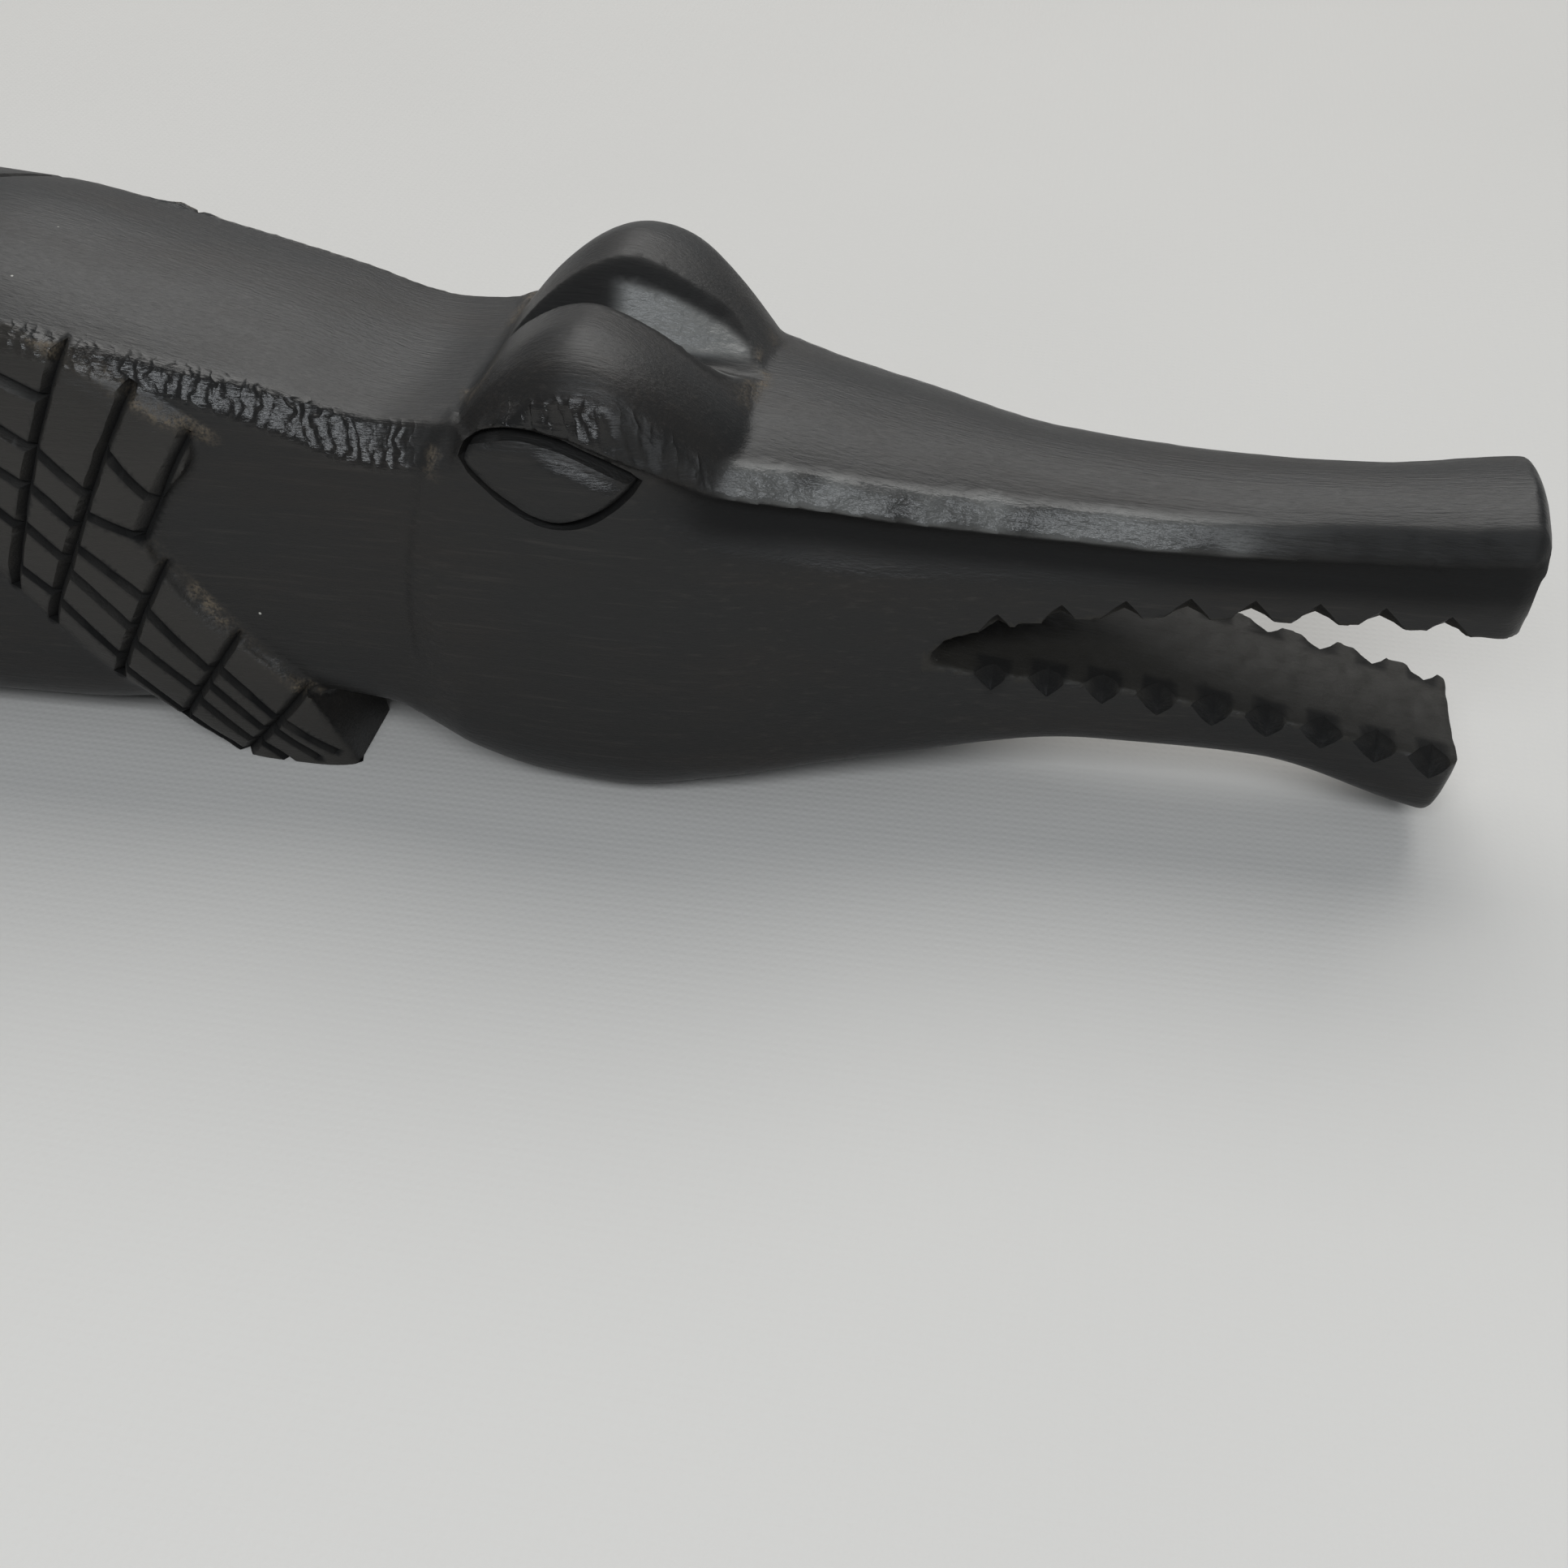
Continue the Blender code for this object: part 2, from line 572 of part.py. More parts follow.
def ground():
    """Block under the carving; what it cuts off leaves the soles flat."""
    def build(shape):
        low = -8 * UNIT
        corners = [(-SNOUT_TIP, -30), (SNOUT_TIP, -30), (SNOUT_TIP, 30), (-SNOUT_TIP, 30)]
        loft(shape, [[Vector((x * UNIT, y * UNIT, z)) for x, y in corners] for z in (low, 0.0)])
    return mesh_object("ground", build)


def black_wood():
    material = bpy.data.materials.new("black_wood")
    material.use_nodes = True
    shader = material.node_tree.nodes["Principled BSDF"]
    shader.inputs["Base Color"].default_value = BLACK_WOOD
    shader.inputs["Roughness"].default_value = 0.42
    shader.inputs["Metallic"].default_value = 0.0
    return material


def main():
    clear_scene()
    carving = body()
    cut_or_join(carving, domes(), "UNION")
    cut_or_join(carving, back_grooves(), "DIFFERENCE")
    cut_or_join(carving, mouth(), "DIFFERENCE")
    cut_or_join(carving, tooth_nicks(), "DIFFERENCE")
    for side in (-1, 1):
        cut_or_join(carving, eye_ball(side), "UNION")
        cut_or_join(carving, eye_groove(side), "DIFFERENCE")
        for hind in (False, True):
            cut_or_join(carving, leg(side, hind), "UNION")
            carve_scales(carving, side, hind)
    cut_or_join(carving, ground(), "DIFFERENCE")
    carving.data.materials.clear()
    carving.data.materials.append(black_wood())


main()
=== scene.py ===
# Long-snouted crocodile carved from one stick of black wood, lying on a pale cloth.
# The dictionaries are in millimetres; the carving is turned to metres when it is finished.
# The wood's texture scales are per metre, and the studio is in metres.
import math

import bpy
import numpy as np
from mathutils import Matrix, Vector


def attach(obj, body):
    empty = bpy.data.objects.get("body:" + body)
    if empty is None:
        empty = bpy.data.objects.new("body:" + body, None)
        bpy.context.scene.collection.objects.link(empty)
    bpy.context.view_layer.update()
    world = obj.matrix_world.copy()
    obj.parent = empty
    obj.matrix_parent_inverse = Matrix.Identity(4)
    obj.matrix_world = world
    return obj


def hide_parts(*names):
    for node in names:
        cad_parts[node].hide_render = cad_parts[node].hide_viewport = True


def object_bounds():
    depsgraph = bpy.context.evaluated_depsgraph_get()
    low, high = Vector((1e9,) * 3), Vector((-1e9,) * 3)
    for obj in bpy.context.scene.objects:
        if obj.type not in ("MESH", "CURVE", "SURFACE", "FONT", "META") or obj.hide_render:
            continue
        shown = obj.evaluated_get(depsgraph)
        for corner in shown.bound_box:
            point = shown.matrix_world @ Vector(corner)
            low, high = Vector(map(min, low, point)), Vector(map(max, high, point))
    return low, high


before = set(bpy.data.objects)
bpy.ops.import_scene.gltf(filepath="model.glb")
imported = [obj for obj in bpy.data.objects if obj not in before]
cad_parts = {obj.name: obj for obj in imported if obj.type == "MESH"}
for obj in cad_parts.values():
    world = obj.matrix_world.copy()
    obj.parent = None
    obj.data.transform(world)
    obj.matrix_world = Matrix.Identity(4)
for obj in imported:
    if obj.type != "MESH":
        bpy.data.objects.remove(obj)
cadBox = [list(corner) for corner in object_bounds()]
print("frame loaded")

metre = 0.001               # one millimetre in metres


# Lines and noise

def rail(points, x):        # smooth line through (place, value) pairs that never swings past them
    places = np.array([p[0] for p in points], float)
    values = np.array([p[1] for p in points], float)
    steps = np.diff(values) / np.diff(places)
    bends = np.empty(len(places))
    bends[0], bends[-1] = steps[0], steps[-1]
    product, total = steps[:-1] * steps[1:], steps[:-1] + steps[1:]
    total = np.where(np.abs(total) < 1e-12, 1.0, total)
    bends[1:-1] = np.where(product <= 0, 0.0, 2 * product / total)
    x = np.clip(np.asarray(x, float), places[0], places[-1])
    i = np.clip(np.searchsorted(places, x, side="right") - 1, 0, len(places) - 2)
    width = places[i + 1] - places[i]
    t = (x - places[i]) / width
    return ((1 + 2 * t) * (1 - t) ** 2 * values[i] + t * (1 - t) ** 2 * width * bends[i]
            + t * t * (3 - 2 * t) * values[i + 1] + t * t * (t - 1) * width * bends[i + 1])


def mix(a, b, share):
    return a + (b - a) * share


def ease(low, high, value):     # 0 below low, 1 above high, smooth between
    t = np.clip((value - low) / (high - low), 0.0, 1.0)
    return t * t * (3 - 2 * t)


def speckle(ix, iy, iz, seed):      # one steady number from 0 to 1 for each lattice point
    n = (ix.astype(np.int64) * 73856093) ^ (iy.astype(np.int64) * 19349663)
    n ^= (iz.astype(np.int64) * 83492791) ^ (seed * 2654435761)
    n = (n ^ (n >> 13)) * 1274126177
    n &= 0xFFFFFFFF
    n ^= n >> 16
    return (n & 0xFFFF) / 65535.0


def cloud(points, size, seed):      # soft noise from -1 to 1; size is a number or one for each axis
    p = points / np.asarray(size, float)
    base = np.floor(p)
    f = p - base
    f = f * f * (3 - 2 * f)
    result = np.zeros(len(points))
    for corner in range(8):
        d = np.array([corner & 1, (corner >> 1) & 1, (corner >> 2) & 1])
        weight = np.prod(np.where(d, f, 1 - f), axis=1)
        q = base + d
        result += weight * speckle(q[:, 0], q[:, 1], q[:, 2], seed)
    return 2 * result - 1


# Closed skins

def skin(rings, closed=False):      # points and quads over rings of equal length
    rings = np.asarray(rings, float)
    count, size = rings.shape[:2]
    faces = []
    for row in range(count if closed else count - 1):
        following = (row + 1) % count
        for i in range(size):
            j = (i + 1) % size
            faces.append((row * size + i, row * size + j,
                          following * size + j, following * size + i))
    if not closed:
        faces.append(tuple(range(size - 1, -1, -1)))
        faces.append(tuple(range((count - 1) * size, count * size)))
    return rings.reshape(-1, 3), faces


def addObject(name, data):
    made = bpy.data.objects.new(name, data)
    bpy.context.scene.collection.objects.link(made)
    return made


def solid(name, skins):     # one object from several closed skins, all faces turned outwards
    points, faces, start = [], [], 0
    for some, quads in skins:
        volume = 0.0
        for quad in quads:
            corners = some[list(quad)]
            for k in range(1, len(quad) - 1):
                volume += np.dot(corners[0], np.cross(corners[k], corners[k + 1]))
        points.append(some)
        for quad in quads:
            quad = tuple(start + v for v in quad)
            faces.append(quad if volume > 0 else quad[::-1])
        start += len(some)
    mesh = bpy.data.meshes.new(name)
    mesh.from_pydata(np.concatenate(points).tolist(), [], faces)
    return addObject(name, mesh)


def applyModifiers(piece):
    bpy.context.view_layer.update()
    seen = piece.evaluated_get(bpy.context.evaluated_depsgraph_get())
    mesh = bpy.data.meshes.new_from_object(seen)
    piece.modifiers.clear()
    piece.data = mesh


def carveOff(piece, cutter, solver="EXACT"):      # cuts the cutter out of the piece and uses it up
    step = piece.modifiers.new("cut", "BOOLEAN")
    step.operation = "DIFFERENCE"
    step.solver = solver
    step.object = cutter
    applyModifiers(piece)
    bpy.data.objects.remove(cutter, do_unlink=True)


# Body

body = {
    "snoutTip": 170.0,
    "crown": [(-170, 6.5), (-150, 11.0), (-120, 18.0), (-90, 25.5), (-60, 33.5), (-30, 40.8),
              (0, 45.4), (22, 46.4), (41, 45.2), (53, 42.6), (68, 38.9), (80, 35.8), (87, 36.4),
              (107.5, 35.9), (120, 33.6), (132, 31.7), (145, 30.9), (157, 31.5), (170, 33.0)],
    "keel": [(-170, 1.4), (-140, 1.6), (-100, 3.0), (-60, 3.6), (0, 2.6), (45, 2.8), (60, 5.0),
             (68, 7.0), (76, 6.3), (80.4, 3.9), (90, 0.9), (97, 0.4), (106, 2.2), (120, 4.9),
             (137, 7.5), (151, 6.9), (165, 3.2), (170, 2.2)],
    "shoulderY": [(-170, 1.5), (-150, 3.2), (-120, 5.4), (-90, 8.0), (-60, 11.4), (-30, 14.2),
                  (0, 15.0), (30, 14.6), (53, 13.8), (80, 13.7), (86, 14.0), (96, 14.4),
                  (106, 13.4), (113, 11.8), (120, 10.6), (132, 8.3), (145, 7.5), (157, 7.0),
                  (166, 7.5), (170, 7.4)],
    "shoulderZ": [(-170, 5.2), (-150, 8.6), (-120, 14.0), (-90, 20.4), (-60, 28.4), (-30, 36.2),
                  (0, 41.2), (22, 42.2), (41, 41.6), (53, 39.6), (68, 35.7), (79, 32.6),
                  (85, 33.2), (96, 36.6), (106, 32.6), (113, 31.2), (120, 30.1), (132, 28.5),
                  (145, 28.0), (157, 28.5), (170, 30.2)],
    "chamfer": [(-170, 0.5), (-100, 1.4), (0, 2.2), (41, 1.6), (55, 1.6), (80, 3.9), (90, 3.0),
                (110, 2.6), (132, 2.4), (170, 2.4)],
    "flankY": [(-170, 1.8), (-150, 3.8), (-120, 6.2), (-90, 9.0), (-60, 12.6), (-30, 15.6),
               (0, 16.4), (30, 15.6), (53, 14.4), (79, 13.8), (84, 14.9), (95, 15.4), (106, 14.7),
               (113, 13.0), (120, 11.5), (132, 9.1), (145, 7.8), (157, 6.9), (170, 6.6)],
    "flankZ": [(-170, 3.8), (-120, 9.5), (-60, 17.5), (0, 23.0), (40, 22.0), (80, 19.0),
               (100, 19.5), (120, 18.5), (145, 17.5), (170, 15.0)],
    "hollow": [(-170, 0.0), (98, 0.0), (104, 1.1), (112, 2.0), (120, 1.5), (132, 1.0), (150, 0.7),
               (170, 0.4)],
    "hollowReach": [(98, 0.34), (107, 0.38), (120, 0.46), (132, 0.40), (151, 0.24), (170, 0.2)],
    "hollowScale": 3.08,        # takes the curve of the hollow to 1 where it is deepest
    "bellyFullness": 5.2, "backCurve": 2.2, "chamferAcross": 0.6, "chamferDown": 0.75,
    "crownMargin": 0.2,
    "snoutRake": 0.10, "rakeStart": 150.0, "endRounding": 1.6, "endClosing": 0.16,
}
shoulderColumn = 16         # the shoulder's edge in a half section


def halfSection(x):     # right half of the sections at stations x, crown to keel, as y and z
    x = np.asarray(x, float).reshape(-1, 1)
    crown, keel = rail(body["crown"], x), rail(body["keel"], x)
    edgeY, edgeZ = rail(body["shoulderY"], x), rail(body["shoulderZ"], x)
    flankY, flankZ = rail(body["flankY"], x), rail(body["flankZ"], x)
    chamfer = rail(body["chamfer"], x)
    topY = edgeY - body["chamferAcross"] * chamfer
    topZ = np.minimum(edgeZ + body["chamferDown"] * chamfer, crown - body["crownMargin"])
    across = np.linspace(0, 1, 14).reshape(1, -1)
    ys, zs = [topY * across], [mix(crown, topZ, across ** body["backCurve"])]
    down = np.array([[0.34, 0.67, 1.0]])
    ys.append(mix(topY, edgeY, down))
    zs.append(mix(topZ, edgeZ, down))
    down = np.linspace(0, 1, 19)[1:].reshape(1, -1)
    cove = np.clip(down / rail(body["hollowReach"], x), 0, 1)
    cove = rail(body["hollow"], x) * body["hollowScale"] * cove ** 0.5 * (1 - cove) ** 1.5
    ys.append(mix(edgeY, flankY, down) - cove)
    zs.append(mix(edgeZ, flankZ, down))
    turn = np.radians(np.linspace(0, 90, 16)[1:]).reshape(1, -1)
    power = 2 / body["bellyFullness"]
    ys.append(flankY * np.clip(np.cos(turn), 0, 1) ** power)
    zs.append(flankZ - (flankZ - keel) * np.sin(turn) ** power)
    return np.concatenate(ys, axis=1), np.concatenate(zs, axis=1)


def sideY(x, z):        # half-width of the body at stations x and heights z, on its side
    x, z = np.atleast_1d(np.asarray(x, float)), np.atleast_1d(np.asarray(z, float))
    ys, zs = halfSection(x)
    ys, zs = ys[:, shoulderColumn:], zs[:, shoulderColumn:]
    return np.array([np.interp(-height, -row, out) for height, row, out in zip(z, zs, ys)])


def bodyRings(x):
    ys, zs = halfSection(x)
    x = np.asarray(x, float).reshape(-1, 1)
    crown, keel = zs[:, :1], zs[:, -1:]
    middle = 0.5 * (crown + keel)
    left = np.clip(1 - (body["snoutTip"] - x) / body["endRounding"], 0, 1)
    shrink = 1 - body["endClosing"] * left ** 2
    rake = (x - body["rakeStart"]) / (body["snoutTip"] - body["rakeStart"])
    rake = body["snoutRake"] * np.clip(rake, 0, 1)
    right = np.stack([x - rake * (crown - zs), -ys * shrink, mix(middle, zs, shrink)], axis=2)
    mirrored = right[:, -2:0:-1] * np.array([1, -1, 1])
    return np.concatenate([right, mirrored], axis=1)


bodyStations = np.concatenate([np.arange(-170, 76, 1.2), np.arange(76, 168, 0.7),
                               [168.4, 168.8, 169.2, 169.5, 169.8, 170.0]])
bodySkin = skin(bodyRings(bodyStations))
print("body drawn")


# Brows, eyes

brows = {
    "top": 95.2, "sunk": 0.15, "rearRoundness": 1.9, "wallFoot": 0.6, "edge": 0.3,
    "line": [(84.6, 33.8), (86.2, 35.4), (88, 37.4), (91, 38.2), (95, 37.6), (98, 36.4),
             (102, 34.7), (107.8, 32.2)],       # lower edge of the brow, over the eye
    # by the share of the shoulder's half-width; 2 stands for the brow's outermost edge
    "height": [(0, 43.2), (0.32, 43.5), (0.60, 43.8), (0.84, 43.2), (0.95, 42.5), (1, 41.9),
               (2, 41.0)],
    "rear": [(0, 84.8), (0.32, 84.7), (0.60, 84.6), (0.84, 85.0), (0.95, 85.4), (1, 85.8),
             (2, 87.0)],
    "front": [(0, 107.4), (0.32, 107.5), (0.60, 107.8), (0.84, 107.0), (0.95, 106.0), (1, 105.2),
              (2, 102.6)],
    "roundness": [(0, 1.5), (0.32, 1.5), (0.60, 1.6), (0.84, 1.9), (0.95, 2.2), (1, 2.6), (2, 2.8)],
    "hang": -0.3, "beyond": 1.1, "arcPoints": 49,
    "hangRow": 0.97,        # rows from here outwards end at the line over the eye
    "valleyFloor": [(82, 38.6), (86.7, 37.6), (95, 37.0), (103, 36.3), (107.6, 35.9), (111, 36.2)],
    "valleySpread": [(82, 0.6), (92, 0.6), (97, 0.72), (100, 0.92), (102, 1.25), (105, 2.2),
                     (111, 3.0)],
    "valleyTop": 50.0,
}


def backZ(x, share):        # height of the body's back at a share of the shoulder's half-width
    x = np.atleast_1d(np.asarray(x, float))
    ys, zs = [rows[:, :shoulderColumn + 1] for rows in halfSection(x)]
    return np.array([np.interp(share * row[-1], row, high) for row, high in zip(ys, zs)])


def browProfile(row, side):     # lengthwise slice: upper edge to the front, underside back
    share, out = min(row, 1.0), max(row - 1.0, 0.0)
    turn = np.linspace(math.pi, 0, brows["arcPoints"])
    atBack = turn > math.pi / 2
    away = np.abs(np.cos(turn))
    end = np.where(atBack, rail(brows["rear"], row), rail(brows["front"], row))
    power = np.where(atBack, brows["rearRoundness"], rail(brows["roundness"], row))
    x = mix(brows["top"], end, away)
    y = share * rail(body["shoulderY"], x) + brows["beyond"] * out * (1 - away ** 4)
    if row < brows["hangRow"]:
        low = rail(body["shoulderZ"], x) - brows["wallFoot"]
    else:
        low = rail(brows["line"], x) + brows["hang"] * (1 - out)
    ends = backZ([rail(brows["rear"], row), rail(brows["front"], row)], share) - brows["sunk"]
    runOut = np.where(atBack, ends[0], ends[1])
    top = rail(brows["height"], row)
    z = np.maximum(top - (top - runOut) * away ** power, low + brows["edge"])
    upper = np.stack([x, side * y, z], axis=1)
    under = np.stack([x, side * y, low], axis=1)
    return np.concatenate([upper, under[::-1]])


def valleySkin():
    rings, top = [], brows["valleyTop"]
    for x in np.arange(82.0, 111.1, 1.0):
        floor = rail(brows["valleyFloor"], x)
        half = (top - floor) * rail(brows["valleySpread"], x)
        rings.append([(x, 0.0, floor), (x, half, top), (x, -half, top)])
    return skin(rings)


browRows = [2.0, 1.7, 1.4, 1.15, 1.0, 0.95, 0.9, 0.84, 0.76, 0.68, 0.6, 0.5, 0.4, 0.32, 0.2, 0.1]
browSkin = skin([browProfile(row, -1) for row in browRows] + [browProfile(0.0, 1)]
                + [browProfile(row, 1) for row in browRows[::-1]])

eyes = {
    "back": (86.3, 34.6), "front": (100.2, 33.8), "above": 2.9, "below": 4.7,
    "middle": 0.48, "middleDrop": 1.2, "bulge": 0.9, "lead": 0.66, "fullness": 0.85,
    "rows": [(1.0, -1.6), (1.0, 0.05), (0.93, 0.42), (0.82, 0.66), (0.66, 0.84), (0.45, 0.95),
             (0.22, 1.0), (0.05, 1.0)],
    "grooveWidth": 0.75, "grooveDepth": 0.85, "points": 20,
}


def eyeOutline():       # almond on the side of the head, as x and z
    t = np.linspace(0, 1, eyes["points"], endpoint=False)
    above = eyes["above"] * np.sin(math.pi * t ** eyes["lead"]) ** eyes["fullness"]
    below = -eyes["below"] * np.clip(np.sin(math.pi * (1 - t)), 0, 1) ** eyes["fullness"]
    t, rise = np.concatenate([t, 1 - t]), np.concatenate([above, below])
    back, front = eyes["back"], eyes["front"]
    return np.stack([mix(back[0], front[0], t), mix(back[1], front[1], t) + rise], axis=1)


def eyeSkin(side):
    outline = eyeOutline()
    back, front = eyes["back"], eyes["front"]
    centre = np.array([mix(back[0], front[0], eyes["middle"]), back[1] - eyes["middleDrop"]])
    rings = []
    for share, rise in eyes["rows"]:
        place = mix(centre, outline, share)
        y = side * (sideY(place[:, 0], place[:, 1]) + rise * eyes["bulge"])
        rings.append(np.stack([place[:, 0], y, place[:, 1]], axis=1))
    return skin(rings)


print("head drawn")


# Legs

limbs = {
    "frontEdge": [(-4.0, 72.6), (0.0, 71.8), (4.0, 70.9), (9.3, 68.9), (14.7, 63.7), (20.0, 59.4),
                  (24.0, 57.8), (27.5, 59.6), (33.0, 63.6), (34.6, 63.4), (37.6, 59.2),
                  (41.2, 52.0)],
    "rearEdge": [(-4.0, 63.6), (0.0, 60.0), (4.7, 55.9), (9.4, 51.2), (14.8, 47.2), (18.2, 44.6),
                 (25.0, 40.0), (34.0, 40.6), (41.2, 44.0)],
    "surfaceY": [(-4, 12.4), (0, 12.9), (4, 14.1), (9, 15.0), (16, 15.8), (30, 16.0), (36, 15.2),
                 (42, 13.6)],
    "innerFace": 3.5, "edgeDrop": 0.8,
    "hindStart": -54.0, "hindStretch": 1.12, "hindHeight": 0.78, "hindBreadth": 0.97,
    # lines across the limb, from its front to its rear edge, shoulder first
    "crossLines": [((47.6, 40.2), (41.2, 24.6)), ((53.9, 40.4), (44.6, 18.0)),
                   ((59.3, 37.8), (47.0, 14.6)), ((63.6, 34.4), (57.6, 24.2)),
                   ((59.0, 21.8), (51.6, 9.0)), ((64.0, 15.0), (56.4, 4.4)),
                   ((69.2, 9.7), (60.6, -0.5)), ((71.4, 2.4), (63.5, -1.5))],
    # from one line to another, with the places of the knife cuts across it at both
    "panels": [(0, 1, (0.10, 0.32, 0.52, 0.72), (0.17, 0.36, 0.52, 0.70)),
               (1, 2, (0.35, 0.50, 0.67, 0.87), (0.40, 0.54, 0.69, 0.85)),
               (2, 3, (0.21, 0.47), (0.62, 0.97)),
               (2, 4, (0.61, 0.72, 0.86), (0.26, 0.52, 0.80)),
               (4, 5, (0.32, 0.60, 0.87), (0.37, 0.62, 0.93)),
               (5, 6, (0.29, 0.48, 0.68, 0.93), (0.37, 0.55, 0.74, 0.95)),
               (6, 7, (0.36, 0.48, 0.70), (0.14, 0.38, 0.72))],
    "crossWidth": 1.2, "crossDepth": 1.0, "cutWidth": 1.0, "cutDepth": 1.1,
    "crossCuts": range(1, 7),       # those of the crossLines that are cut
    "overrun": 0.02, "cutSpacing": 0.9, "wander": 0.16,
}
hindOrigin = rail(limbs["rearEdge"], 25.0)      # place on the drawn leg that goes to hindStart


def limbPlace(x, z, hind):      # a place on the drawn front leg, and where it lies on this one
    if not hind:
        return x, z
    return limbs["hindStart"] + (x - hindOrigin) * limbs["hindStretch"], z * limbs["hindHeight"]


def limbPoints(x, z, side, hind, inner=False):
    x, z = np.atleast_1d(np.asarray(x, float)), np.atleast_1d(np.asarray(z, float))
    front, rear = rail(limbs["frontEdge"], z), rail(limbs["rearEdge"], z)
    share = np.clip(np.abs(2 * (x - front) / (rear - front) - 1), 0, 1)
    y = rail(limbs["surfaceY"], z) - limbs["edgeDrop"] * share ** 4
    if hind:
        y = y * limbs["hindBreadth"]
    if inner:
        y = np.full(len(x), limbs["innerFace"])
    x, z = limbPlace(x, z, hind)
    return np.stack([x, side * y, z], axis=1)


def limbSkin(side, hind):
    rings = []
    for z in np.concatenate([np.arange(-3, 40.6, 0.8), [41.0]]):
        front, rear = rail(limbs["frontEdge"], z), rail(limbs["rearEdge"], z)
        across = mix(front, rear, np.linspace(0, 1, 17))
        outer = limbPoints(across, np.full_like(across, z), side, hind)
        across = across[::-4]
        inner = limbPoints(across, np.full_like(across, z), side, hind, inner=True)
        rings.append(np.concatenate([outer, inner]))
    return skin(rings)


print("legs drawn")


# Mouth

jaws = {
    "roof": [(123.2, 17.9), (124.5, 19.2), (128.3, 20.2), (133.1, 21.1), (143.0, 21.8),
             (154.0, 22.2), (163.5, 22.4), (174.0, 22.2)],
    "floor": [(123.2, 16.9), (128.3, 15.9), (137.6, 15.0), (146.7, 13.5), (156.4, 11.7),
              (165.0, 9.9), (174.0, 7.9)],
    "firstTooth": 128.3, "lastTooth": 166.5, "upperPitch": 5.03, "lowerPitch": 4.62,
    "nick": 2.1, "smallest": 0.75, "reach": 24.0,
    "upperScoop": 0.92, "lowerScoop": 0.8, "tip": 0.02, "stretch": 1.02,
    "levels": (-1.0, -0.55, 0.0, 0.55, 1.0),
    "corners": [(-1, 0), (-0.5, -0.62), (0, -1), (0.5, -0.62), (1, 0), (0.5, 0.62), (0, 1),
                (-0.5, 0.62)],      # of one nick, seen from above
}


def mouthSkin():
    x = np.concatenate([[123.2, 123.7, 124.5], np.arange(125.5, 174.1, 1.0)])
    roof = np.stack([x, rail(jaws["roof"], x)], axis=1)
    low = np.stack([x, rail(jaws["floor"], x)], axis=1)[::-1]
    outline = np.concatenate([roof, low])
    rings = []
    for y in (-jaws["reach"], 0.0, jaws["reach"]):
        rings.append(np.stack([outline[:, 0], np.full(len(outline), y), outline[:, 1]], axis=1))
    return skin(rings)


def nickPlaces(pitch):
    count = int((jaws["lastTooth"] - jaws["firstTooth"]) / pitch) + 1
    return [jaws["firstTooth"] + index * pitch for index in range(count)]


def nickSkins():        # one scooped diamond for each gap between two teeth
    skins = []
    for edge, pitch, scoop in (("roof", jaws["upperPitch"], jaws["upperScoop"]),
                               ("floor", jaws["lowerPitch"], jaws["lowerScoop"])):
        for index, x in enumerate(nickPlaces(pitch)):
            z = float(rail(jaws[edge], x))
            grown = mix(jaws["smallest"], 1, min(index / 3, 1.0))
            for side in (-1, 1):
                spot = speckle(*np.array([[index], [side + 2], [len(edge)]]), 11)[0]
                reach = min(jaws["nick"], 0.45 * pitch) * grown * (0.94 + 0.12 * spot)
                skins.append(diamond((x, side * float(sideY(x, z)[0]), z), reach, scoop))
    return skins


def diamond(centre, reach, scoop):
    x, y, z = centre
    rings = []
    for level in jaws["levels"]:
        wide = reach * (1 - abs(level)) ** scoop + jaws["tip"]
        rings.append([(x + a * wide, y + b * wide, z + level * reach * jaws["stretch"])
                      for a, b in jaws["corners"]])
    return skin(rings)


# Knife cuts

cuts = {
    "proud": 0.6,
    "backPitch": 14.0, "backFront": 42.5, "backRear": -50.0, "backSlant": 0.69,
    "backWidth": 1.3, "backDepth": 0.95,
    "tailPitch": 12.0, "tailFront": -64.0, "tailRear": -160.0, "tailWidth": 1.8, "tailDepth": 1.6,
    "tailSeed": 40,
}


# the wedge that a knife takes out along a path
def knifeCut(path, outwards, width, depth, wander, seed, closed=False):
    path, outwards = np.asarray(path, float), np.asarray(outwards, float)
    if outwards.ndim == 1:
        outwards = np.tile(outwards, (len(path), 1))
    if closed:
        ahead = np.roll(path, -1, axis=0) - np.roll(path, 1, axis=0)
    else:
        ahead = np.gradient(path, axis=0)
    ahead /= np.linalg.norm(ahead, axis=1, keepdims=True)
    sideways = np.cross(ahead, outwards)
    sideways /= np.linalg.norm(sideways, axis=1, keepdims=True)
    size = (1 + wander * cloud(path, 1.3, seed)).reshape(-1, 1)
    shift = sideways * (wander * 0.25 * width * cloud(path + 7, 2.0, seed + 1)).reshape(-1, 1)
    rise = depth * cuts["proud"]
    half = 0.5 * width * (1 + cuts["proud"]) * size
    rings = np.stack([path + shift + outwards * rise + sideways * half,
                      path + shift - outwards * depth * size,
                      path + shift + outwards * rise - sideways * half], axis=1)
    return skin(rings, closed)


def along(a, b, spacing):       # straight row of places from a to b
    a, b = np.asarray(a, float), np.asarray(b, float)
    count = max(int(np.linalg.norm(b - a) / spacing) + 1, 3)
    return mix(a, b, np.linspace(0, 1, count).reshape(-1, 1))


def onLine(cross, share):
    (x0, z0), (x1, z1) = limbs["crossLines"][cross]
    return mix(x0, x1, share), mix(z0, z1, share)


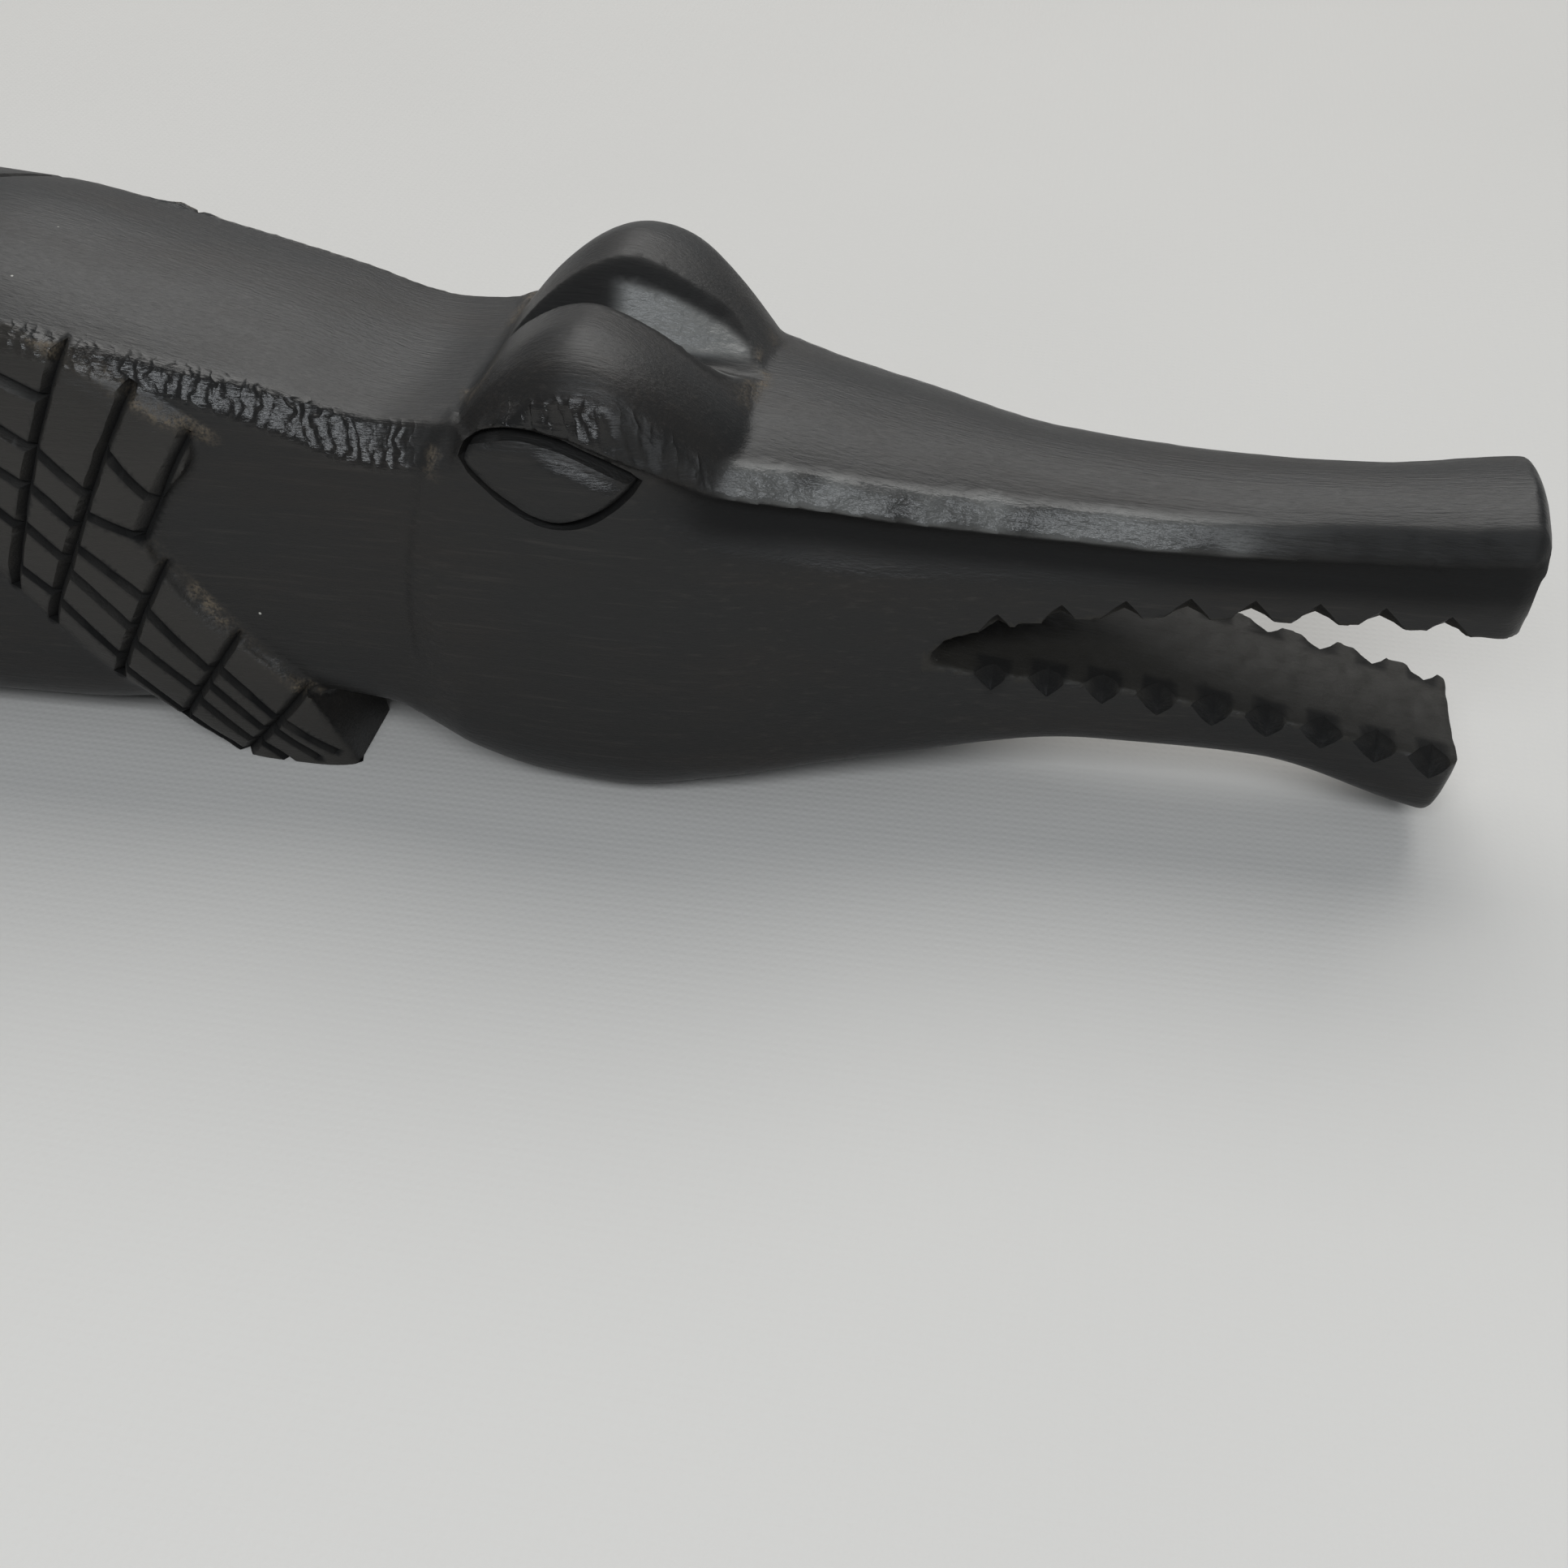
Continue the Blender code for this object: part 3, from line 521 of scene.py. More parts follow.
def limbCut(start, end, side, hind, width, depth, seed):
    places = along(start, end, limbs["cutSpacing"])
    path = limbPoints(places[:, 0], places[:, 1], side, hind)
    return knifeCut(path, (0, side, 0), width, depth, wander=limbs["wander"], seed=seed)


def crossCuts():
    skins = []
    for hind in (False, True):
        for side in (-1, 1):
            for cross in limbs["crossCuts"]:
                start, end = onLine(cross, -limbs["overrun"]), onLine(cross, 1.0)
                skins.append(limbCut(start, end, side, hind, limbs["crossWidth"],
                                     limbs["crossDepth"], 10 * cross + side + 3 * hind))
    return skins


def panelPairs(starts, ends, hind):     # the plainer hind leg has every second cut
    return list(zip(starts, ends))[::2 if hind else 1]


def panelCuts(group):       # every third panel, so that no two cuts of one cutter meet
    skins = []
    for number, (first, second, starts, ends) in enumerate(limbs["panels"]):
        if number % 3 != group:
            continue
        for hind in (False, True):
            for side in (-1, 1):
                for index, (start, end) in enumerate(panelPairs(starts, ends, hind)):
                    skins.append(limbCut(onLine(first, start), onLine(second, end), side, hind,
                                         limbs["cutWidth"], limbs["cutDepth"],
                                         100 * number + 10 * index + side + 2))
    return skins


def backCut(front, slant, width, depth, seed):    # shoulder to shoulder, its point to the tail
    reach = float(rail(body["shoulderY"], front))
    half = []
    for index, across in enumerate(halfSection(front)[0][0, :shoulderColumn + 1]):
        x = front - slant * (reach - across)
        ys, zs = [rows[0, :shoulderColumn + 1] for rows in halfSection(x)]
        rise, run = np.gradient(zs)[index], np.gradient(ys)[index]
        half.append((x, ys[index], zs[index], -rise if index else 0.0, run))
    half = np.array(half)
    mirror = half[:0:-1] * np.array([1, -1, 1, -1, 1])
    both = np.concatenate([mirror, half])
    path, normal = both[:, :3], both[:, [0, 3, 4]] * np.array([0, 1, 1])
    normal /= np.linalg.norm(normal, axis=1, keepdims=True)
    return knifeCut(path, normal, width, depth, wander=0.07, seed=seed)


def placesOf(front, rear, pitch):
    return front - pitch * np.arange(int((front - rear) / pitch) + 1)


def backCuts():
    back = placesOf(cuts["backFront"], cuts["backRear"], cuts["backPitch"])
    skins = [backCut(x, cuts["backSlant"], cuts["backWidth"], cuts["backDepth"], index)
             for index, x in enumerate(back)]
    tail = placesOf(cuts["tailFront"], cuts["tailRear"], cuts["tailPitch"])
    for index, x in enumerate(tail):
        small = 0.6 + 0.4 * float(ease(-150, -90, x))
        skins.append(backCut(x, 0.0, cuts["tailWidth"] * small, cuts["tailDepth"] * small,
                             cuts["tailSeed"] + index))
    return skins


def eyeCuts():
    skins = []
    outline = eyeOutline()
    for side in (-1, 1):
        y = side * sideY(outline[:, 0], outline[:, 1])
        path = np.stack([outline[:, 0], y, outline[:, 1]], axis=1)
        skins.append(knifeCut(path, (0, side, 0), eyes["grooveWidth"], eyes["grooveDepth"],
                              closed=True, wander=0.1, seed=5))
    return skins


# The rough form

form = {
    "voxel": 0.42, "smoothSteps": 5, "smooth": 0.5, "swell": 0.52, "triangles": 172000,
    "sharpAngle": 50,
}

carved = solid("roughBody", [bodySkin])
carveOff(carved, solid("mouth", [mouthSkin()]))
pair = solid("brows", [browSkin])
carveOff(pair, solid("valley", [valleySkin()]))
parts = []
for side in (-1, 1):
    parts.append(eyeSkin(side))
    for hind in (False, True):
        parts.append(limbSkin(side, hind))
extra = solid("roughParts", parts)


def readMesh(mesh):
    points = np.empty(len(mesh.vertices) * 3)
    mesh.vertices.foreach_get("co", points)
    edges = np.empty(len(mesh.edges) * 2, np.int64)
    mesh.edges.foreach_get("vertices", edges)
    return points.reshape(-1, 3), edges.reshape(-1, 2)


def writeMesh(mesh, points):
    mesh.vertices.foreach_set("co", points.astype(np.float32).ravel())
    mesh.update()


def neighbourMean(values, edges, count):
    total = np.zeros_like(values)
    for column in range(values.shape[1]):
        total[:, column] = (np.bincount(edges[:, 0], values[edges[:, 1], column], count)
                            + np.bincount(edges[:, 1], values[edges[:, 0], column], count))
    links = np.bincount(edges.ravel(), minlength=count).reshape(-1, 1)
    return total / np.maximum(links, 1)


def settle(points, edges, steps):       # smooths the skin without letting it shrink
    for share in (form["smooth"], -form["swell"]) * steps:
        points = points + share * (neighbourMean(points, edges, len(points)) - points)
    return points


def joinMeshes(first, second):
    base = len(first.data.vertices)
    points = np.concatenate([readMesh(first.data)[0], readMesh(second.data)[0]])
    faces = [tuple(p.vertices) for p in first.data.polygons]
    faces += [tuple(base + v for v in p.vertices) for p in second.data.polygons]
    mesh = bpy.data.meshes.new("joined")
    mesh.from_pydata(points.tolist(), [], faces)
    first.data = mesh
    bpy.data.objects.remove(second, do_unlink=True)


joinMeshes(carved, pair)
joinMeshes(carved, extra)
step = carved.modifiers.new("voxels", "REMESH")
step.mode = "VOXEL"
step.voxel_size = form["voxel"]
step.use_smooth_shade = True
applyModifiers(carved)
points, edges = readMesh(carved.data)
points = settle(points, edges, form["smoothSteps"])
writeMesh(carved.data, points)
print("rough form:", len(points), "points")


# Hand-carved surface

carving = {
    "wave": 0.045, "waveSize": 7.0,          # uneven sanding
    "facet": 0.025, "facetSize": 2.2,
    "strokeMark": 0.05, "strokePitch": 1.15,     # scoops across the neck's chamfer and the brow
    "chipMark": 0.05,
    "mouthMark": 0.14, "mouthSize": 1.1,
    "pillow": 0.16, "pillowReach": 0.9,
    "ragged": 0.10, "raggedSize": 0.8, "ridge": 0.14,
    "neckStep": 0.36,
    "margin": 0.004,            # kept free inside the CAD's box
    # lines seen from the side, as (x, z)
    "browEdge": [(86, 37.4), (88.5, 39.0), (92, 40.6), (96, 41.1), (99, 40.5), (101.5, 39.0),
                 (104, 36.6), (106, 34.2)],
    "valleyEdge": [(93, 42.4), (98, 41.2), (102, 39.3), (105, 37.5), (107, 36.6)],
    "lidLine": [(92.2, 35.7), (95.2, 34.8), (97.6, 33.6), (98.9, 33.0)],
    "ridgeLine": [(48.8, 42.6), (50.7, 42.0), (58, 38.0), (65.4, 33.9)], "ridgeReach": 0.95,
    "foreLine": [(58.2, 23.4), (61.0, 19.0), (66.0, 12.8), (69.6, 8.6)], "foreReach": 0.85,
    # the step between neck and head, as (z, x)
    "neckLine": [(10.3, 79.9), (18.8, 80.1), (27.7, 81.5), (34.0, 83.3), (39.6, 87.0)],
    # along the carving: where marks begin and are full
    "snoutStart": (105, 109), "rimStart": (138, 158),
}


def band(x, z, path, reach):      # 1 on a line through (x, z) places, falling to 0 at its reach
    return 1 - ease(0.35 * reach, reach, lineDistance(x, z, path))


def lineDistance(x, z, path):
    best = np.full(len(x), 1e9)
    for (x0, z0), (x1, z1) in zip(path[:-1], path[1:]):
        dx, dz = x1 - x0, z1 - z0
        t = np.clip(((x - x0) * dx + (z - z0) * dz) / (dx * dx + dz * dz), 0, 1)
        best = np.minimum(best, np.hypot(x - x0 - t * dx, z - z0 - t * dz))
    return best


def limbCoordinates(p, hind):       # back to the drawn front leg
    x, z = p[:, 0], p[:, 2]
    if hind:
        x = (x - limbs["hindStart"]) / limbs["hindStretch"] + hindOrigin
        z = z / limbs["hindHeight"]
    return x, z


def limbLines(hind):
    lines = [[onLine(cross, 0.0), onLine(cross, 1.0)] for cross in limbs["crossCuts"]]
    for first, second, starts, ends in limbs["panels"]:
        for start, end in panelPairs(starts, ends, hind):
            lines.append([onLine(first, start), onLine(second, end)])
    return lines


def cutDistance(x, z, hind):        # to the nearest knife cut, on the drawn leg
    return np.minimum.reduce([lineDistance(x, z, path) for path in limbLines(hind)])


def aboutLimb(x, z):
    return (x > 34) & (x < 78) & (z < 43)


def surfaceMarks(p):        # the marks' places on the carving, each from 0 to 1
    x, y, z = p[:, 0], np.abs(p[:, 1]), p[:, 2]
    edgeZ, edgeY = rail(body["shoulderZ"], x), rail(body["shoulderY"], x)
    chamfer = rail(body["chamfer"], x)
    down = np.abs(z - (edgeZ + 0.37 * chamfer))
    nearEdge = (1 - ease(0.42, 0.62, down / chamfer)) * ease(-2.9, -1.9, y - edgeY)
    marks = {}
    marks["neck"] = nearEdge * ease(44, 49, x) * (1 - ease(80, 83, x))
    marks["snout"] = nearEdge * ease(*carving["snoutStart"], x) * (
        1 - 0.8 * ease(*carving["rimStart"], x))
    marks["rim"] = nearEdge * ease(*carving["snoutStart"], x) * ease(*carving["rimStart"], x)
    below = (edgeZ - z) / np.maximum(edgeZ - rail(body["flankZ"], x), 0.1)
    marks["cove"] = (ease(100, 106, x) * (y > 5) * ease(-0.02, 0.03, below)
                     * (1 - ease(0.20, 0.42, below)))
    edge = rail(carving["browEdge"], x)
    low = rail(brows["line"], x) - 0.4
    marks["brow"] = (ease(87.5, 90.5, x) * (1 - ease(105, 106.5, x)) * ease(11.0, 12.0, y)
                     * (1 - ease(-0.5, 0.5, z - edge)) * ease(-0.3, 0.3, z - low))
    floor = rail(brows["valleyFloor"], x)
    wall = y - (z - floor) * rail(brows["valleySpread"], x)
    marks["valley"] = (ease(33.0, 36.0, z)
                       * (1 - ease(0.25, 0.7, np.abs(wall))) * ease(93.5, 96, x)
                       * (1 - ease(105.2, 106.5, x)) * ease(0.3, 1.0, z - floor)
                       * (1 - ease(-0.4, 0.3, z - rail(carving["valleyEdge"], x))))
    lid = lineDistance(x, z, carving["lidLine"])
    marks["lid"] = (y > 13) * (1 - ease(0.4, 0.75, lid)) * ease(91.5, 94.0, x)
    marks["hollow"] = ((x > 85.5) * (x < 107) * (z > floor + 0.2) * ease(36, 37, z)
                       * (1 - ease(0.3, 0.6, np.abs(wall))) * (1 - marks["valley"]))
    inMouth = (x > 122.5) * (z < rail(jaws["roof"], x) + 0.35) * (z > rail(jaws["floor"], x) - 0.35)
    marks["mouth"] = inMouth.astype(float)
    return marks


def limbMarks(p, n):        # nearness to a knife cut, the ragged edges, and the leg itself
    y = np.abs(p[:, 1])
    pillow, ragged, onLimb = np.zeros(len(p)), np.zeros(len(p)), np.zeros(len(p))
    for hind in (False, True):
        lx, lz = limbCoordinates(p, hind)
        near = np.where(aboutLimb(lx, lz) & (y > 9) & (np.abs(n[:, 1]) > 0.35))[0]
        a, b = lx[near], lz[near]
        front, rear = rail(limbs["frontEdge"], b), rail(limbs["rearEdge"], b)
        inside = ease(-0.3, 0.3, front - a) * ease(-0.3, 0.3, a - rear)
        apart = np.clip(cutDistance(a, b, hind) / carving["pillowReach"], 0, 1)
        pillow[near] = np.maximum(pillow[near], inside * (1 - apart) ** 2)
        ridge = band(a, b, carving["ridgeLine"], carving["ridgeReach"])
        fore = band(a, b, carving["foreLine"], carving["foreReach"])
        ragged[near] = np.maximum(ragged[near], np.maximum(ridge, fore))
        onLimb[near] = np.maximum(onLimb[near], inside)
    return pillow, ragged, onLimb


def vertexNormals(mesh):
    normals = np.empty(len(mesh.vertices) * 3, np.float32)
    mesh.vertices.foreach_get("normal", normals)
    return normals.reshape(-1, 3).astype(float)


def scallops(phase):        # a row of shallow scoops: 0 in their middles, 1 on the ridges between
    return np.abs(2 * (phase - np.floor(phase)) - 1) ** 2.2


normals = vertexNormals(carved.data)
marks = surfaceMarks(points)
pillow, ragged, onLimb = limbMarks(points, normals)
x, y, z = points[:, 0], points[:, 1], points[:, 2]
lift = carving["wave"] * cloud(points, carving["waveSize"], 1)
lift += carving["facet"] * cloud(points, (2.6 * carving["facetSize"], carving["facetSize"],
                                          carving["facetSize"]), 2)
wobble = 0.3 * cloud(points, 1.8, 3)
size = 0.6 + 0.4 * cloud(points, 2.5, 4)
lift += np.maximum(marks["neck"], marks["brow"]) * carving["strokeMark"] * size * (
    scallops(x / carving["strokePitch"] + 0.1 * z + wobble) - 0.5)
lift += np.maximum(marks["snout"], marks["valley"]) * carving["chipMark"] * (
    cloud(points, (1.3, 0.9, 0.9), 5) + 0.5 * cloud(points, (2.6, 1.2, 1.2), 6))
lift += marks["mouth"] * carving["mouthMark"] * np.minimum(
    cloud(points, (carving["mouthSize"], 1.3, 1.0), 9), 0.3)
lift -= carving["pillow"] * pillow
lift += ragged * (carving["ridge"] + carving["ragged"] * cloud(points, carving["raggedSize"], 10))
neckLine = rail(carving["neckLine"], z)
onNeck = ease(-0.9, 0.5, x - neckLine) - ease(1.5, 9.0, x - neckLine)
lift += carving["neckStep"] * onNeck * ease(8, 11, np.abs(y)) * ease(9, 18, z) * (z < 36)
keep = ease(0.0, 0.6, z)
points = points + normals * (lift * keep).reshape(-1, 1)
low = np.array(cadBox[0]) / metre + carving["margin"]
high = np.array(cadBox[1]) / metre - carving["margin"]
points = np.clip(points, low * np.array([1, 1, 0]), high)
writeMesh(carved.data, points)
print("hand-carved surface done")

# fewer triangles where the eye doesn't need them
step = carved.modifiers.new("fewer", "DECIMATE")
step.ratio = form["triangles"] / (2 * len(carved.data.polygons))
applyModifiers(carved)
print("form:", len(carved.data.polygons), "triangles")

# the soles' ground, then the knife cuts
groundRing = [(-200, -60), (200, -60), (200, 60), (-200, 60)]
carveOff(carved, solid("ground", [skin([[(a, b, level) for a, b in groundRing]
                                       for level in (-9.0, 0.0)])]), "MANIFOLD")
for name, skins in (("nicks", nickSkins()), ("eyeCuts", eyeCuts()), ("crossCuts", crossCuts()),
                    ("panelCutsA", panelCuts(0)), ("panelCutsB", panelCuts(1)),
                    ("panelCutsC", panelCuts(2)), ("backCuts", backCuts())):
    before = len(carved.data.polygons)
    carveOff(carved, solid(name, skins), "MANIFOLD")
    print(name, before, "->", len(carved.data.polygons))
print("knife cuts done")


# Finish masks, with painted shade and a painted highlight

# nearCuts gives where painted shade darkens the legs' knife cuts, the eye's groove and the lower
# nicks
def nearCuts(p):        # 1 in the legs' cuts and the eye's groove, a little less in the lower nicks
    x, y, z = p[:, 0], np.abs(p[:, 1]), p[:, 2]
    near = np.zeros(len(p))
    for hind in (False, True):
        lx, lz = limbCoordinates(p, hind)
        chosen = np.where(aboutLimb(lx, lz) & (y > 8))[0]
        best = cutDistance(lx[chosen], lz[chosen], hind)
        near[chosen] = np.maximum(near[chosen], 1 - ease(0.37, 0.65, best))
    outline = eyeOutline()
    chosen = np.where((x > 84) & (x < 103) & (z > 27) & (z < 40) & (y > 10))[0]
    best = lineDistance(x[chosen], z[chosen], np.concatenate([outline, outline[:1]]))
    near[chosen] = np.maximum(near[chosen], 1 - ease(0.15, 0.4, best))
    for centre in nickPlaces(jaws["lowerPitch"]):
        apart = np.abs(x - centre) + np.abs(z - rail(jaws["floor"], centre))
        side = rail(body["flankY"], centre)
        near = np.maximum(near, 0.8 * (1 - ease(1.3, 2.0, apart)) * ease(-3.0, -2.2, y - side))
    return near


def paintMask(mesh, name, values):
    layer = mesh.attributes.new(name, "FLOAT", "POINT")
    layer.data.foreach_set("value", np.clip(values, -1, 1).astype(np.float32))


points, edges = readMesh(carved.data)
normals = vertexNormals(carved.data)
marks = surfaceMarks(points)
pillow, ragged, onLimb = limbMarks(points, normals)
x, y, z = points[:, 0], np.abs(points[:, 1]), points[:, 2]
patchy = 0.5 + 0.5 * cloud(points, 2.4, 21)
crumbs = ease(0.4, 0.8, patchy + 0.3 * cloud(points, 0.6, 22))
# painted shade and painted dark reflection: the cuts, the hollow between the brows and the cove
# under the snout's edge are darkened towards black, and so are the snout's rim and the brow's front
paintedShade = np.maximum.reduce([nearCuts(points), 0.75 * marks["hollow"], 0.7 * marks["rim"],
                          0.9 * marks["cove"], 0.5 * marks["brow"] * ease(97, 100, x)])
stroke = np.maximum(marks["neck"], marks["brow"])
chips = np.maximum(marks["snout"], marks["valley"])
gloss = np.maximum.reduce([stroke, marks["snout"], marks["rim"], 0.6 * marks["lid"],
                           0.5 * marks["cove"]])
streaky = 0.6 + 0.8 * cloud(points, (0.9, 1.5, 3.0), 23)
lean = (0.7 * marks["brow"] * streaky + 0.4 * marks["lid"] - 0.25 * marks["cove"]
        - (0.2 + 0.25 * streaky) * marks["rim"] * (1 - ease(166, 169, x)))
dust = ragged * (0.1 + 0.8 * crumbs)
neckLine = rail(carving["neckLine"], z)
crease = (1 - ease(0.2, 0.8, np.abs(x - neckLine - 0.2))) * ease(30, 35, z) * (y > 5)
dust = np.maximum(dust, 0.6 * crease * crumbs)
valleyEnds = (1 - ease(0.4, 1.4, np.hypot(x - 86.4, z - 37.0))) * (1 - ease(2, 6, y))
valleyEnds += (1 - ease(0.3, 1.3, np.abs(x - 107.2))) * (1 - ease(5, 9, y)) * (z > 33)
dust = np.maximum(dust, valleyEnds * crumbs)
# the cut mask is painted shade and painted dark reflection
masks = {"gloss": gloss, "stroke": stroke, "chips": chips, "cut": paintedShade, "dust": dust,
         "mouth": marks["mouth"], "limb": onLimb, "lean": lean,
         # a painted highlight: pale grey on the facet between the brows and, in patches, on the
         # snout's chipped edge
         "paintedHighlight": np.maximum(marks["valley"], 0.9 * marks["snout"] * patchy * ease(104, 108, x))}
for name, values in masks.items():
    paintMask(carved.data, name, values)
writeMesh(carved.data, points * metre)
carved.data.shade_smooth()
carved.data.set_sharp_from_angle(angle=math.radians(form["sharpAngle"]))
carved.name = "carvedCrocodile"
carved.data.name = "carvedCrocodile"
print("masks painted")


# Wood

wood = {
    "black": (0.0125, 0.0124, 0.0121, 1), "brown": (0.024, 0.019, 0.0155, 1),
    "streak": (0.034, 0.031, 0.028, 1), "mouthBrown": (0.026, 0.024, 0.020, 1),
    # the near-black colour on the next line is painted shade and painted dark reflection; the dust
    # beside it is real dust
    "paintedShadeBlack": (0.003, 0.003, 0.003, 1), "dust": (0.16, 0.128, 0.09, 1),
    # the last colour on the next line, after the specks, is a painted highlight for the facet
    # between the brows and the snout's chips
    "speck": (0.50, 0.49, 0.45, 1), "paintedHighlight": (0.15, 0.152, 0.147, 1),
    "limb": (0.034, 0.031, 0.027, 1),
    "roughness": 0.42, "glossRoughness": 0.20, "mouthRoughness": 0.62, "cutRoughness": 0.9,
    "paintedHighlightRoughness": 0.30, "specular": 0.38,
    "dustRoughness": 0.9,
    "grain": 0.8, "grainDepth": 0.1, "strokePitch": 1.1, "strokeDepth": 0.13, "chipDepth": 0.14,
    "broadScale": (45, 130, 130), "streakScale": (90, 2600, 2600),
    "fineScale": (900, 5200, 5200), "gritScale": (3600, 3600, 3600), "speckScale": 210,
    "wanderScale": (420, 700, 260), "unevenScale": (700, 300, 300),
    "strokeSlant": 350, "strokeWander": 5.0,
    "chipScale": (260, 800, 800), "chipGritScale": (1400, 2200, 2200), "chipGrit": 0.7,
}


def nodeMaker(material):
    material.use_nodes = True
    tree = material.node_tree
    tree.nodes.clear()

    def make(kind, **settings):
        node = tree.nodes.new(kind)
        for key, value in settings.items():
            setattr(node, key, value)
        return node
    return make


def feed(source, target):
    target.id_data.links.new(source, target)


def plug(value, socket):        # sets a plain number or colour, links anything else
    if isinstance(value, (tuple, int, float)):
        socket.default_value = value
    else:
        feed(value, socket)


def stretched(make, place, stretch):
    mapping = make("ShaderNodeMapping")
    mapping.inputs["Scale"].default_value = stretch
    feed(place, mapping.inputs["Vector"])
    return mapping.outputs["Vector"]


def noiseNode(make, place, stretch, detail=3.0, roughness=0.55):
    noise = make("ShaderNodeTexNoise")
    noise.inputs["Scale"].default_value = 1.0
    noise.inputs["Detail"].default_value = detail
    noise.inputs["Roughness"].default_value = roughness
    feed(stretched(make, place, stretch), noise.inputs["Vector"])
    return noise.outputs["Fac"]


def rangeNode(make, source, low, high, toLow=0.0, toHigh=1.0):
    node = make("ShaderNodeMapRange")
    node.inputs["From Min"].default_value = low
    node.inputs["From Max"].default_value = high
    node.inputs["To Min"].default_value = toLow
    node.inputs["To Max"].default_value = toHigh
    feed(source, node.inputs["Value"])
    return node.outputs["Result"]


def mathNode(make, operation, first, second):
    node = make("ShaderNodeMath", operation=operation)
    plug(first, node.inputs[0])
    plug(second, node.inputs[1])
    return node.outputs[0]


def times(make, first, second):
    return mathNode(make, "MULTIPLY", first, second)


def plus(make, first, second):
    return mathNode(make, "ADD", first, second)


def mixColour(make, factor, first, second):
    node = make("ShaderNodeMix", data_type="RGBA")
    for index, value in ((0, factor), (6, first), (7, second)):
        plug(value, node.inputs[index])
    return node.outputs[2]


def maskNode(make, name):
    return make("ShaderNodeAttribute", attribute_name=name).outputs["Fac"]


def blend(make, factor, first, second):       # a number between two numbers or sockets
    node = make("ShaderNodeMix", data_type="FLOAT")
    for index, value in ((0, factor), (2, first), (3, second)):
        plug(value, node.inputs[index])
    return node.outputs[0]


def bumpNode(make, height, distance, strength, normal=None):
    bump = make("ShaderNodeBump")
    bump.inputs["Strength"].default_value = strength
    bump.inputs["Distance"].default_value = distance
    feed(height, bump.inputs["Height"])
    if normal:
        feed(normal, bump.inputs["Normal"])
    return bump.outputs["Normal"]


def strokeHeight(make, place):        # concave scoops side by side along the carving
    apart = make("ShaderNodeSeparateXYZ")
    feed(place, apart.inputs["Vector"])
    wander = noiseNode(make, place, wood["wanderScale"], 2.0)
    uneven = noiseNode(make, place, wood["unevenScale"], 2.0)
    turns = times(make, apart.outputs["X"], 2 / (wood["strokePitch"] * metre))
    turns = plus(make, turns, times(make, apart.outputs["Z"], wood["strokeSlant"]))
    turns = plus(make, turns, times(make, wander, wood["strokeWander"]))
    scoop = mathNode(make, "PINGPONG", turns, 1.0)
    scoop = mathNode(make, "POWER", scoop, 2.0)
    return times(make, scoop, rangeNode(make, uneven, 0.3, 0.65, 0.15, 1.0))


def chipHeight(make, place):
    cells = make("ShaderNodeTexVoronoi")
    feed(stretched(make, place, wood["chipScale"]), cells.inputs["Vector"])
    cells.inputs["Scale"].default_value = 1.0
    fine = noiseNode(make, place, wood["chipGritScale"], 3.0)
    return plus(make, cells.outputs["Distance"], times(make, fine, wood["chipGrit"]))


def leanNormal(make):     # small facets left by the knife, turned up or down
    upwards = make("ShaderNodeVectorMath", operation="SCALE")
    upwards.inputs[0].default_value = (0, 0, 1)
    feed(maskNode(make, "lean"), upwards.inputs["Scale"])
    turned = make("ShaderNodeVectorMath", operation="ADD")
    feed(make("ShaderNodeNewGeometry").outputs["Normal"], turned.inputs[0])
    feed(upwards.outputs["Vector"], turned.inputs[1])
    whole = make("ShaderNodeVectorMath", operation="NORMALIZE")
    feed(turned.outputs["Vector"], whole.inputs[0])
    return whole.outputs["Vector"]


